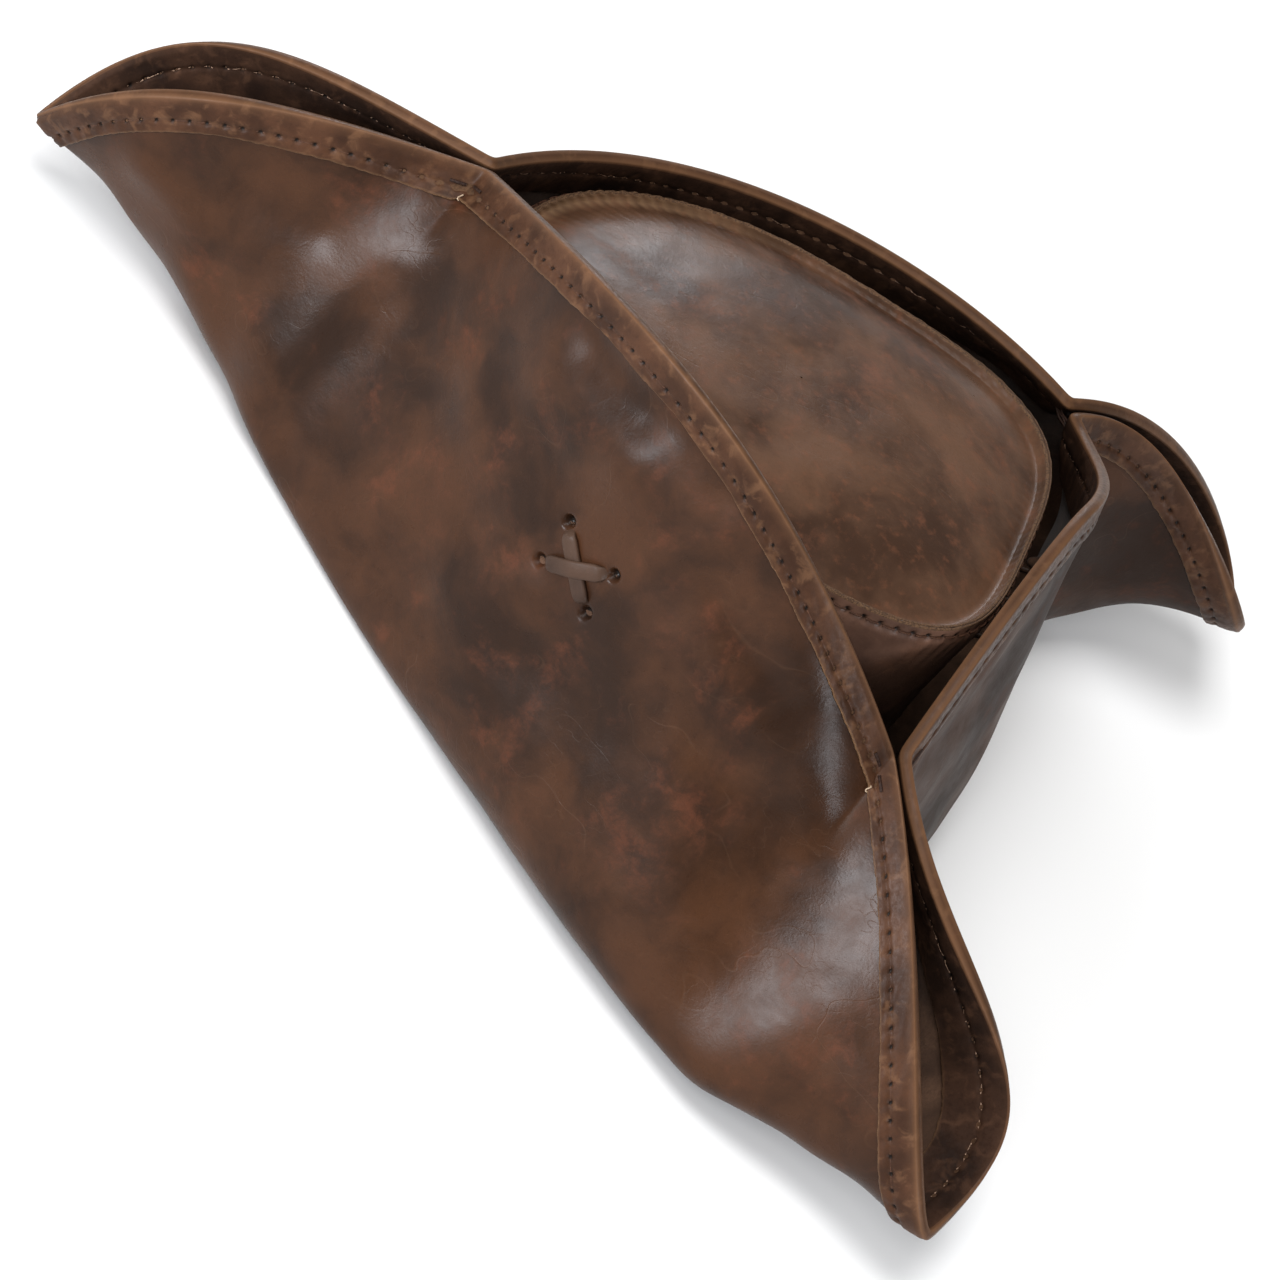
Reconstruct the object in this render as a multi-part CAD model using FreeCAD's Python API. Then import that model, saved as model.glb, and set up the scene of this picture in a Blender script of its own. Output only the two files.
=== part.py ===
"""Leather tricorn (pirate) hat: a stiff round brim folded up against the crown on three sides.

Frame, in millimetres: +Z up, the front corner towards -Y, +X to the wearer's left.
The origin is the centre of the head opening, on the plane through the foot of the crown.
"""
import FreeCAD, Part
import math
import os

V = FreeCAD.Vector

# ---- driving dimensions -------------------------------------------------
LEATHER = 2.0              # thickness of brim, crown wall and tip
BAND_LEATHER = 1.0         # thickness of the binding strip
SWEAT_LEATHER = 1.5        # thickness of the sweatband
GAP = 0.1                  # room left between layers that only touch

HEAD_LENGTH = 210.0        # outside of the crown wall at its foot, front to back
HEAD_WIDTH = 178.0         # the same, side to side
FLANGE_TOP = 9.0           # the brim's turned-up seam flange inside the wall
FLANGE_PLAY = 0.9          # and its room there, because the wall leans in
SWEAT_TOP = 36.0
SWEAT_FOOT = 1.0
SWEAT_PLAY = 0.7           # between flange and sweatband, which leans with the wall

RIDGE_CENTRE = V(-4, 8, 112)   # middle of the raised seam round the tip; the crown leans a little
RIDGE_FRONT = 100.0            # from there to its front
RIDGE_BACK = 89.0              # and to its blunt back
RIDGE_HALF_WIDTH = 80.0
RIDGE_POWER_FRONT = 2.0        # superellipse powers: rounder in front, squarer behind
RIDGE_POWER_BACK = 3.6
RIDGE_PITCH = 8.0              # degrees, back higher
RIDGE_ROLL = 6.5               # degrees, left side higher
RIM_HEIGHT = 7.0               # height of the seam's upstanding rim over the tip's edge
DOME_RISE = 10.0               # the tip panel's middle above its edge
DOME_SHARES = (0.2, 0.45, 0.68, 0.85, 0.96)    # the dome's rings, as shares of its outline

FRONT_TIP = V(0, -224, 18)
FRONT_TACK = V(0, -109, 115)
REAR_TIP = V(170, 188, 28)
REAR_TACK = V(93, 92, 108)
BACK_MIDDLE = V(-11, 102, 145)
TACK_HALF = 3.2                # each side of a pinched corner stands this far from its middle
FOLD_WEIGHT = 3.5              # how tightly the brim turns up at its fold

BAND_OUTSIDE = 12.0            # width of the binding on the grain side
BAND_INSIDE = 20.0             # and on the flesh side
STITCH_PITCH = 5.7
STITCH_LENGTH = 3.6
THREAD = 0.8
STITCH_INSET = 8.0             # the binding's seam below the brim's edge
TIP_SEAM_DROP = 3.0            # the tip's seam below its raw edge
BRIM_SEAM_HEIGHT = 6.0
SWEAT_SEAM_HEIGHT = 5.0
BACK_SEAM_SPREAD = 1.6         # degrees from the wall's closing seam to each row of stitches
BACK_SEAM_FOOT = 0.1           # where those rows start, as a share of the wall's height
BACK_SEAM_TOP = 0.9            # and where they end

LACE_WIDTH = 5.5
LACE_THICK = 1.4
LACE_HALF_ALONG = 10.0         # the crossed thong's four holes, from its centre, along the flap
LACE_HALF_UP = 8.0             # and up it
LACE_HOLE = 3.4                # diameter
LACE_STRAND = 2.6              # the thong rolled up where it goes through
LACE_REACH = 40.0              # how far a hole is cut inwards, through flap and wall
LACE_PLAY = GAP + 0.3          # under a thong's ends
UNDER_BOW = 0.4                # the lower thong stands this much higher at its middle
OVER_BOW = 0.6 + LACE_THICK    # and the one that crosses over it
STRAND_INSIDE = 4.0            # from the wall's inner face to where the strands turn
KNOT_SIZE = 9.0
KNOT_BEYOND = KNOT_SIZE / 3    # from there to the knot's middle
TACK_DROP = 6.0                # a corner's bar tack below the edge
TACK_HALF_LENGTH = 7.5
TACK_THREAD = 1.2

U_STEPS = 16                   # stations along one stretch of edge, for seams and binding
NORMAL_SPAN = 0.02             # part of a stretch on each side that a normal is taken over
RING_STEPS = 120               # stations round a seam of the crown
BACK_STEPS = 16                # and down its closing seam
CUT_PAST = 0.02                # share of the wall's height that its inner cutter runs past


# ---- small geometry helpers ---------------------------------------------
def mirrored(point):
    return V(-point.x, point.y, point.z)


def mirror_all(points):
    """The same stretch on the other side, run the other way."""
    return [mirrored(p) for p in reversed(points)]


def unit(vector):
    return V(vector) / vector.Length


def bezier_point(poles, u):
    points = [V(p) for p in poles]
    while len(points) > 1:
        points = [a * (1 - u) + b * u for a, b in zip(points, points[1:])]
    return points[0]


def head_oval(angle, inset=0.0, z=0.0):
    """A point of the head oval, angle in degrees from +X towards +Y."""
    turn = math.radians(angle)
    half_width = HEAD_WIDTH / 2 - inset
    half_length = HEAD_LENGTH / 2 - inset
    return V(half_width * math.cos(turn), half_length * math.sin(turn), z)


def head_arc(start, end, inset=0.0, z=0.0):
    """Four Bezier poles that follow the head oval between two angles."""
    reach = 4 / 3 * math.tan(math.radians(end - start) / 4)
    poles = [head_oval(start, inset, z), head_oval(end, inset, z)]
    pulls = []
    for angle in (start, end):
        turn = math.radians(angle)
        pulls.append(V(-(HEAD_WIDTH / 2 - inset) * math.sin(turn),
                       (HEAD_LENGTH / 2 - inset) * math.cos(turn), 0) * reach)
    return [poles[0], poles[0] + pulls[0], poles[1] - pulls[1], poles[1]]


def closed_wire(points):
    curve = Part.BSplineCurve()
    curve.interpolate(points, PeriodicFlag=True)
    return Part.Wire(curve.toShape())


def sewn_solid(faces):
    shell = Part.makeShell(faces)
    shell.sewShape()
    solid = Part.makeSolid(shell)
    if solid.Volume < 0:
        solid.reverse()
    return solid


def save(name, shape):
    shape.exportStep(os.path.join("parts", name + ".step"))
    print(f"{name}: solids {len(shape.Solids)}, valid {shape.isValid()}, volume {shape.Volume:.0f}")


# ---- the brim's surface -------------------------------------------------
# Ten stretches go round the hat from the front corner by the left side. Each has three rows
# of Bezier poles: at the head oval, at the fold, and along the free edge.
SPREAD = unit(V(REAR_TACK.y, -REAR_TACK.x, 0)) * TACK_HALF
FRONT_LEFT = FRONT_TACK + V(TACK_HALF, 0, 0)
REAR_LEFT = REAR_TACK + SPREAD
BACK_LEFT = REAR_TACK - SPREAD

LEFT_EDGES = [
    [FRONT_TIP, V(27, -210, 81), V(12, -174, 94), FRONT_LEFT],
    [FRONT_LEFT, V(107, -53, 191), V(111, 3, 185), REAR_LEFT],
    [REAR_LEFT, V(148, 130, 99), V(181, 177, 38), REAR_TIP],
    [REAR_TIP, V(89, 211, 52), V(155, 135, 96), BACK_LEFT],
    [BACK_LEFT, V(69, 93, 131), V(15, 96, 150), BACK_MIDDLE],
]
RIGHT_FLAP_EDGE = [mirrored(REAR_LEFT), V(-110, 29, 111), V(-111, -60, 88), mirrored(FRONT_LEFT)]
RIGHT_BACK_EDGE = [BACK_MIDDLE, V(-37, 108, 140), V(-78, 109, 107), mirrored(BACK_LEFT)]
EDGES = LEFT_EDGES + [
    RIGHT_BACK_EDGE,
    mirror_all(LEFT_EDGES[3]),
    mirror_all(LEFT_EDGES[2]),
    RIGHT_FLAP_EDGE,
    mirror_all(LEFT_EDGES[0]),
]

LEFT_FOLDS = [
    [V(0, -170, 3), V(6, -170, 3), V(43, -127, 0), V(52, -106, 0)],
    [V(52, -106, 0), V(76, -52, 0), V(150, 38, 0), V(172, 88, 0)],
    [V(172, 88, 0), V(182, 110, 0), V(172, 136, 12), V(160, 148, 12)],
    [V(160, 148, 12), V(148, 160, 12), V(92, 138, 0), V(76, 136, 0)],
    [V(76, 136, 0), V(46, 134, 0), V(18, 150, 0), V(-8, 150, 0)],
]
RIGHT_FLAP_FOLD = [V(-172, 88, 0), V(-160, 30, 0), V(-80, -48, 0), V(-52, -106, 0)]
RIGHT_BACK_FOLD = [V(-8, 150, 0), V(-34, 150, 0), V(-46, 134, 0), V(-76, 136, 0)]
FOLDS = LEFT_FOLDS + [
    RIGHT_BACK_FOLD,
    mirror_all(LEFT_FOLDS[3]),
    mirror_all(LEFT_FOLDS[2]),
    RIGHT_FLAP_FOLD,
    mirror_all(LEFT_FOLDS[0]),
]

OVAL_ANGLES = [-90, -55, 25, 42, 62, 95, 118, 138, 155, 235, 270]
STRETCHES = range(len(EDGES))
FLANGE_INSET = LEATHER + FLANGE_PLAY    # the flange's outer face lies inside the wall


def edge_normal(stretch, j):
    """Unit vector from the grain side to the flesh side, at one pole of the free edge."""
    edge = EDGES[stretch]
    along = edge[min(j + 1, 3)] - edge[max(j - 1, 0)]
    up = edge[j] - FOLDS[stretch][j]
    return unit(up.cross(along))


def joined_normal(stretch, j):
    """The same, mitred with the next stretch where two meet."""
    here = edge_normal(stretch, j)
    if j == 0:
        there = edge_normal(stretch - 1, 3)
    elif j == 3:
        there = edge_normal((stretch + 1) % len(EDGES), 0)
    else:
        return here
    return (here + there) / (1 + here.dot(there))


def flesh_rows(stretch):
    """Pole rows of the flesh side: the grain side's rows moved in by the leather."""
    oval = head_arc(OVAL_ANGLES[stretch], OVAL_ANGLES[stretch + 1], FLANGE_INSET, LEATHER)
    fold = []
    edge = []
    for j in range(4):
        inward = joined_normal(stretch, j)
        floor = V(0, 0, 1)
        fold.append(FOLDS[stretch][j] + (inward + floor) / (1 + inward.dot(floor)) * LEATHER)
        edge.append(EDGES[stretch][j] + inward * LEATHER)
    return [oval, fold, edge]


def grain_rows(stretch):
    inset = FLANGE_INSET + LEATHER
    oval = head_arc(OVAL_ANGLES[stretch], OVAL_ANGLES[stretch + 1], inset, 0)
    return [oval, FOLDS[stretch], EDGES[stretch]]


GRAIN = [grain_rows(s) for s in STRETCHES]
FLESH = [flesh_rows(s) for s in STRETCHES]


def patch_face(rows, weights):
    surface = Part.BezierSurface()
    surface.increase(3, len(rows) - 1)
    for column, row in enumerate(rows):
        for j, pole in enumerate(row):
            surface.setPole(j + 1, column + 1, pole, weights[column])
    return surface.toShape()


def surface_point(rows, u, t):
    """A point of a brim side: u along the stretch, t from the oval (0) to the edge (1)."""
    weights = [(1 - t) ** 2, 2 * FOLD_WEIGHT * t * (1 - t), t ** 2]
    total = V()
    for row, weight in zip(rows, weights):
        total += bezier_point(row, u) * weight
    return total / sum(weights)


def point_below_edge(rows, u, depth):
    """The point of a brim side at a distance down from the free edge, and its t."""
    t = 1.0
    walked = 0.0
    here = surface_point(rows, u, t)
    step = 0.01
    while True:
        below = surface_point(rows, u, t - step)
        length = (below - here).Length
        if walked + length >= depth:
            return surface_point(rows, u, t - step * (depth - walked) / length)
        walked += length
        t -= step
        here = below


def side_normal(rows, u, depth):
    """Unit vector from the grain side to the flesh side, at a depth below the edge."""
    low = max(u - NORMAL_SPAN, 0.0)
    high = min(u + NORMAL_SPAN, 1.0)
    along = point_below_edge(rows, high, depth) - point_below_edge(rows, low, depth)
    up = point_below_edge(rows, u, max(depth - 1, 0)) - point_below_edge(rows, u, depth + 1)
    return unit(up.cross(along))


def make_brim():
    faces = []
    for s in STRETCHES:
        start, end = OVAL_ANGLES[s], OVAL_ANGLES[s + 1]
        grain, flesh = GRAIN[s], FLESH[s]
        inside_top = head_arc(start, end, FLANGE_INSET + LEATHER, FLANGE_TOP)
        outside_top = head_arc(start, end, FLANGE_INSET, FLANGE_TOP)
        faces.append(patch_face(grain, (1, FOLD_WEIGHT, 1)))
        faces.append(patch_face(flesh, (1, FOLD_WEIGHT, 1)))
        for pair in ((grain[2], flesh[2]), (grain[0], inside_top),
                     (inside_top, outside_top), (outside_top, flesh[0])):
            faces.append(patch_face(pair, (1, 1)))
    return sewn_solid(faces)


# ---- seams along the brim's edge ----------------------------------------
def border_normal(stretch, u, depth, rows_of):
    """side_normal, mitred with the neighbour where two stretches meet."""
    here = side_normal(rows_of[stretch], u, depth)
    if u == 0:
        there = side_normal(rows_of[stretch - 1], 1, depth)
    elif u == 1:
        there = side_normal(rows_of[(stretch + 1) % len(EDGES)], 0, depth)
    else:
        return here
    return (here + there) / (1 + here.dot(there))


def rail(stretch, rows_of, depth, offset, lift=0.0):
    """Points along a stretch at a depth below the edge, moved along the normal and upwards."""
    points = []
    for i in range(U_STEPS + 1):
        u = i / U_STEPS
        rows = rows_of[stretch]
        normal = border_normal(stretch, u, depth, rows_of)
        place = point_below_edge(rows, u, depth)
        up = unit(place - point_below_edge(rows, u, depth + 1))
        points.append(place + normal * offset + up * lift)
    return points


def rail_curve(points):
    """A spline whose parameter is u, so that all rails of a stretch share their knots."""
    curve = Part.BSplineCurve()
    curve.interpolate(Points=points, Parameters=[i / U_STEPS for i in range(U_STEPS + 1)])
    return curve


def ruled_face(one, other):
    surface = Part.BSplineSurface()
    surface.buildFromPolesMultsKnots([one.getPoles(), other.getPoles()],
                                     [2, 2], one.getMultiplicities(),
                                     [0, 1], one.getKnots(), False, False, 1, one.Degree)
    return surface.toShape()


def make_binding():
    """One strip folded over the whole edge: an upside-down U all the way round."""
    outer = GAP + BAND_LEATHER
    section = [
        (GRAIN, BAND_OUTSIDE, -GAP, 0),
        (GRAIN, BAND_OUTSIDE, -outer, 0),
        (GRAIN, 0, -outer, outer),
        (FLESH, 0, outer, outer),
        (FLESH, BAND_INSIDE, outer, 0),
        (FLESH, BAND_INSIDE, GAP, 0),
        (FLESH, 0, GAP, GAP),
        (GRAIN, 0, -GAP, GAP),
    ]
    faces = []
    for s in STRETCHES:
        rails = [rail_curve(rail(s, *corner)) for corner in section]
        for one, other in zip(rails, rails[1:] + rails[:1]):
            faces.append(ruled_face(one, other))
    return sewn_solid(faces)


def walk(points, pitch, length, start=0.0):
    """Pairs of points: stitches of one length, a pitch apart, along a polyline."""
    reached = [0.0]
    for a, b in zip(points, points[1:]):
        reached.append(reached[-1] + (b - a).Length)
    count = int((reached[-1] - start) / pitch)
    pitch = (reached[-1] - start) / count

    def at(distance):
        i = max(k for k in range(len(points) - 1) if reached[k] <= distance)
        share = (distance - reached[i]) / (reached[i + 1] - reached[i])
        return points[i] + (points[i + 1] - points[i]) * share

    pairs = []
    for k in range(count):
        middle = start + (k + 0.5) * pitch
        pairs.append((at(middle - length / 2), at(middle + length / 2)))
    return pairs


def stitch(a, b, thickness=THREAD):
    return Part.makeCylinder(thickness / 2, (b - a).Length, a, b - a)


def seam(points, pitch=STITCH_PITCH, length=STITCH_LENGTH):
    return [stitch(a, b) for a, b in walk(points, pitch, length)]


def binding_thread(rows_of, side):
    """The binding's seam seen from one side: -1 the grain side, +1 the flesh side."""
    offset = side * (3 * GAP + BAND_LEATHER + THREAD / 2)
    stitches = []
    for s in STRETCHES:
        stitches += seam(rail(s, rows_of, STITCH_INSET, offset))
    return Part.makeCompound(stitches)


# ---- the crown ----------------------------------------------------------
RIDGE_X = V(math.cos(math.radians(RIDGE_ROLL)), 0, math.sin(math.radians(RIDGE_ROLL)))
RIDGE_Y = V(0, math.cos(math.radians(RIDGE_PITCH)), math.sin(math.radians(RIDGE_PITCH)))
RIDGE_UP = unit(RIDGE_X.cross(RIDGE_Y))
TURN_STEPS = 48
TIP_INSET = LEATHER + GAP          # the tip's turned-up edge stands inside the wall
DISH_INSET = TIP_INSET + LEATHER
SEAM_FLOOR = RIM_HEIGHT + LEATHER  # the tip's underside at its edge, below the rim's top


def ridge_point(angle, inset=0.0, lift=0.0, share=1.0):
    """A point of the ridge outline, drawn in by an inset or a share of itself, and lifted."""
    turn = math.radians(angle)
    behind = math.sin(turn) > 0
    power = RIDGE_POWER_BACK if behind else RIDGE_POWER_FRONT
    length = (RIDGE_BACK if behind else RIDGE_FRONT) - inset
    width = RIDGE_HALF_WIDTH - inset
    reach = (abs(math.cos(turn) / width) ** power + abs(math.sin(turn) / length) ** power)
    radius = share * reach ** (-1 / power)
    x, y = radius * math.cos(turn), radius * math.sin(turn)
    return RIDGE_CENTRE + RIDGE_X * x + RIDGE_Y * y + RIDGE_UP * lift


def all_round(point_at):
    return closed_wire([point_at(-90 + 360 * k / TURN_STEPS) for k in range(TURN_STEPS)])


def lofted(*outlines, ruled=False):
    return Part.makeLoft([all_round(outline) for outline in outlines], True, ruled)


def wall_point(angle, height, inset=0.0):
    """A point of the crown wall: height from 0 at its foot to 1 at its raw top edge."""
    foot = head_oval(angle, inset, LEATHER + GAP)
    top = ridge_point(angle, inset)
    return foot * (1 - height) + top * height


def make_crown_wall():
    outside = lofted(lambda a: wall_point(a, 0), lambda a: wall_point(a, 1), ruled=True)
    inside = lofted(lambda a: wall_point(a, -CUT_PAST, LEATHER),
                    lambda a: wall_point(a, 1 + CUT_PAST, LEATHER), ruled=True)
    return outside.cut(inside)


def make_crown_tip():
    """A domed panel whose edge turns up inside the wall's top edge, as one skin of rings."""
    floor = 1 - SEAM_FLOOR / RIDGE_CENTRE.z
    ledge = 1 - RIM_HEIGHT / RIDGE_CENTRE.z

    def dome_ring(share, drop):
        lift = DOME_RISE * (1 - share ** 3) - RIM_HEIGHT - drop
        return all_round(lambda a: ridge_point(a, DISH_INSET, lift, share))

    rings = [dome_ring(share, 0) for share in DOME_SHARES]
    rings.append(all_round(lambda a: wall_point(a, ledge, DISH_INSET)))
    rings.append(all_round(lambda a: wall_point(a, 1, DISH_INSET)))
    rings.append(all_round(lambda a: wall_point(a, 1, TIP_INSET)))
    rings.append(all_round(lambda a: wall_point(a, floor, TIP_INSET)))
    rings += [dome_ring(share, LEATHER) for share in reversed(DOME_SHARES)]
    faces = Part.makeLoft(rings, False, True).Faces
    return sewn_solid(faces + [Part.Face(rings[0]), Part.Face(rings[-1])])


def leaning(angle, height, inset):
    """A point level with others at one height, at an inset from the leaning wall."""
    lean = wall_point(angle, height / RIDGE_CENTRE.z, inset)
    return V(lean.x, lean.y, height)


def make_sweatband():
    outer = FLANGE_INSET + LEATHER + SWEAT_PLAY
    rings = []
    for inset in (outer, outer + SWEAT_LEATHER):
        rings.append(lofted(lambda a, i=inset: head_oval(a, i, SWEAT_FOOT),
                            lambda a, i=inset: leaning(a, SWEAT_TOP, i), ruled=True))
    return rings[0].cut(rings[1])


def ring_seam(point_at):
    points = [point_at(360 * k / RING_STEPS) for k in range(RING_STEPS + 1)]
    return Part.makeCompound(seam(points))


def tip_seam():
    drop = 1 - TIP_SEAM_DROP / RIDGE_CENTRE.z
    proud = GAP + THREAD / 2
    return ring_seam(lambda a: wall_point(a, drop, -proud))


def brim_seam():
    rise = (BRIM_SEAM_HEIGHT - LEATHER) / RIDGE_CENTRE.z
    proud = GAP + THREAD / 2
    return ring_seam(lambda a: wall_point(a, rise, -proud))


def sweatband_seam():
    inset = FLANGE_INSET + LEATHER + SWEAT_PLAY + GAP + SWEAT_LEATHER + THREAD
    return ring_seam(lambda a: head_oval(a, inset, SWEAT_SEAM_HEIGHT))


def crown_back_seam():
    """Two rows of stitches down the wall's closing seam, at the back."""
    proud = GAP + THREAD / 2
    stitches = []
    rise = (BACK_SEAM_TOP - BACK_SEAM_FOOT) / BACK_STEPS
    for side in (-BACK_SEAM_SPREAD, BACK_SEAM_SPREAD):
        stitches += seam([wall_point(90 + side, BACK_SEAM_FOOT + rise * k, -proud)
                          for k in range(BACK_STEPS + 1)])
    return Part.makeCompound(stitches)


# ---- crossed lacing through each flap, and the corner tacks -------------
class Lace:
    """A cross of two thongs through a flap and the wall, knotted inside the crown."""

    def __init__(self, name, stretch, u, depth):
        rows = GRAIN[stretch]
        self.name = name
        self.centre = point_below_edge(rows, u, depth)
        self.inward = side_normal(rows, u, depth)
        low = point_below_edge(rows, u, depth + 1)
        self.up = unit(self.centre - low)
        self.along = unit(self.up.cross(self.inward))

    def hole(self, across, rise):
        return (self.centre + self.along * (across * LACE_HALF_ALONG)
                + self.up * (rise * LACE_HALF_UP))

    def holes(self):
        """Four cutters through flap and wall."""
        cutters = []
        for across in (-1, 1):
            for rise in (-1, 1):
                start = self.hole(across, rise) - self.inward * LACE_HOLE
                cutters.append(Part.makeCylinder(LACE_HOLE / 2, LACE_REACH, start, self.inward))
        return Part.makeCompound(cutters)

    def wall_depth(self):
        """How far the wall's inner face is behind the flap, at the lace's centre."""
        step = 0.25
        depth = 0.0
        while True:
            place = self.centre + self.inward * depth
            angle = math.degrees(math.atan2(place.y, place.x))
            inner = wall_point(angle, place.z / RIDGE_CENTRE.z, LEATHER)
            if V(place.x, place.y, 0).Length < V(inner.x, inner.y, 0).Length:
                return depth
            depth += step

    def thong(self, rise, bow):
        """One arm of the cross with its two ends led in to the knot."""
        start, end = self.hole(-1, -rise), self.hole(1, rise)
        run = unit(end - start)
        out = self.inward * -1
        across = run.cross(out)
        middle = (start + end) / 2
        corners = [start + out * LACE_PLAY, middle + out * (LACE_PLAY + bow),
                   end + out * LACE_PLAY]
        under = Part.Arc(*corners).toShape()
        over = Part.Arc(*[c + out * LACE_THICK for c in reversed(corners)]).toShape()
        ends = [Part.makeLine(corners[2], corners[2] + out * LACE_THICK),
                Part.makeLine(corners[0] + out * LACE_THICK, corners[0])]
        wire = Part.Wire([under, ends[0], over, ends[1]])
        wire.translate(across * (-LACE_WIDTH / 2))
        shape = Part.Face(wire).extrude(across * LACE_WIDTH)
        deep = self.wall_depth() + STRAND_INSIDE
        knot = self.knot_centre()
        for hole in (start, end):
            inner = hole + self.inward * deep
            outer = hole + out * (LACE_PLAY + LACE_THICK / 2)
            strand = Part.makeCylinder(LACE_STRAND / 2, (inner - outer).Length, outer,
                                       self.inward)
            lead = Part.makeCylinder(LACE_STRAND / 2, (knot - inner).Length, inner,
                                     knot - inner)
            elbow = Part.makeSphere(LACE_STRAND / 2, inner)
            shape = shape.fuse([strand, elbow, lead])
        return shape

    def knot_centre(self):
        return self.centre + self.inward * (self.wall_depth() + STRAND_INSIDE + KNOT_BEYOND)

    def thongs(self):
        return Part.makeCompound([self.thong(-1, UNDER_BOW), self.thong(1, OVER_BOW)])

    def knot(self):
        return Part.makeSphere(KNOT_SIZE / 2, self.knot_centre())


def corner_tack(tack, across):
    """A short bar of thread through both sides of a pinched corner."""
    middle = tack - V(0, 0, TACK_DROP)
    start = middle - across * TACK_HALF_LENGTH
    return Part.makeCylinder(TACK_THREAD / 2, 2 * TACK_HALF_LENGTH, start, across)


# ---- write every piece --------------------------------------------------
def main():
    os.makedirs("parts", exist_ok=True)
    laces = [
        Lace("left", stretch=1, u=0.47, depth=76),
        Lace("right", stretch=8, u=0.53, depth=44),
        Lace("back", stretch=5, u=0.60, depth=60),
    ]
    brim = make_brim()
    wall = make_crown_wall()
    for lace in laces:
        brim = brim.cut(lace.holes())
        wall = wall.cut(lace.holes())
        save("lace_" + lace.name, lace.thongs())
        save("lace_knot_" + lace.name, lace.knot())
    save("brim", brim)
    save("crown_wall", wall)
    save("crown_tip", make_crown_tip())
    save("sweatband", make_sweatband())
    save("brim_binding", make_binding())
    save("binding_thread_outside", binding_thread(GRAIN, -1))
    save("binding_thread_inside", binding_thread(FLESH, 1))
    save("tip_seam_thread", tip_seam())
    save("brim_seam_thread", brim_seam())
    save("sweatband_thread", sweatband_seam())
    save("crown_back_seam_thread", crown_back_seam())
    rear_across = unit(V(REAR_TACK.y, -REAR_TACK.x, 0))
    save("corner_tack_front", corner_tack(FRONT_TACK, V(1, 0, 0)))
    save("corner_tack_rear_left", corner_tack(REAR_TACK, rear_across))
    save("corner_tack_rear_right", corner_tack(mirrored(REAR_TACK), mirrored(rear_across)))


main()
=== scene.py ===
"""The looks of a leather tricorn hat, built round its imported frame.

Shapes are worked out in millimetres, as the frame's are, and become metres when a mesh is made.
The hat's free edge is cut into columns, a fixed step apart, that start at the front corner and go
round by the wearer's left. Each column is a line of leather from the head oval up to the edge.
"""
import math

import bpy
import numpy as np
from mathutils import Matrix, Vector, noise


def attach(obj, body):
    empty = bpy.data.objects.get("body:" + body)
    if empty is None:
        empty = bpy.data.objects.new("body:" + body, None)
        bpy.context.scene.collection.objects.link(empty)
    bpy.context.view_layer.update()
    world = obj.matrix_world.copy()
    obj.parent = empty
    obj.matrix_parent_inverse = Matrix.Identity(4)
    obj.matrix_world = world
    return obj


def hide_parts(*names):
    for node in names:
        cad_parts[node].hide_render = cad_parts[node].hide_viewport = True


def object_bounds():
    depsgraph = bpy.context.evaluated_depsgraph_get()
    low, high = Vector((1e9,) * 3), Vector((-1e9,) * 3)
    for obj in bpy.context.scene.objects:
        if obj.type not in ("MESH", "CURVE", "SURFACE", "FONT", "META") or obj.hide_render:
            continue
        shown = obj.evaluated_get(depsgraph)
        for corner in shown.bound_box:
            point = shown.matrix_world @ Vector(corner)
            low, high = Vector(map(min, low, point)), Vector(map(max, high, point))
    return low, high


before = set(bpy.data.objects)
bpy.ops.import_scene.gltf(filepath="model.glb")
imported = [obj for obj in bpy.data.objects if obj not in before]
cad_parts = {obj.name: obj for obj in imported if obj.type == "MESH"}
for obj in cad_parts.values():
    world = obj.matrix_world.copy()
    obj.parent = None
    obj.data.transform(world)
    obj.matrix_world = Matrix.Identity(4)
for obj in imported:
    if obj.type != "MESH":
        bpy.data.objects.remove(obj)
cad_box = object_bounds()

MM = 0.001

# ---- the frame's own dimensions, in millimetres ----
LEATHER = 2.0
BAND_LEATHER = 1.0
GAP = 0.1
HEAD_LENGTH = 210.0
HEAD_WIDTH = 178.0
FLANGE_TOP = 9.0
FLANGE_INSET = LEATHER + 0.9
SWEAT_TOP = 36.0
SWEAT_FOOT = 1.0
SWEAT_LEATHER = 1.5
SWEAT_INSET = FLANGE_INSET + LEATHER + 0.7
RIDGE_CENTRE = np.array([-4.0, 8.0, 112.0])
RIDGE_FRONT = 100.0
RIDGE_BACK = 89.0
RIDGE_HALF_WIDTH = 80.0
RIDGE_POWER_FRONT = 2.0
RIDGE_POWER_BACK = 3.6
RIDGE_PITCH = math.radians(8.0)
RIDGE_ROLL = math.radians(6.5)
SEAM_FLOOR = 9.0  # the foot of the tip's turned-up edge below the rim's top
DOME_RISE = 10.0
FRONT_TIP = (0, -224, 18)
FRONT_TACK = (0, -109, 115)
REAR_TIP = (170, 188, 28)
REAR_TACK = (93, 92, 108)
BACK_MIDDLE = (-11, 102, 145)
TACK_HALF = 3.2
TACK_DROP = 6.0
FOLD_WEIGHT = 3.5
BAND_OUTSIDE = 12.0
BAND_INSIDE = 20.0
STITCH_PITCH = 5.7
STITCH_INSET = 8.0
THREAD = 0.8
TIP_SEAM_DROP = 3.0
SWEAT_SEAM_HEIGHT = 5.0
BACK_SEAM_SPREAD = 1.6  # degrees from the wall's closing seam to each row of stitches
LACE_WIDTH = 5.5
LACE_THICK = 1.4
LACE_HALF_ALONG = 10.0
LACE_HALF_UP = 8.0

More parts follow.
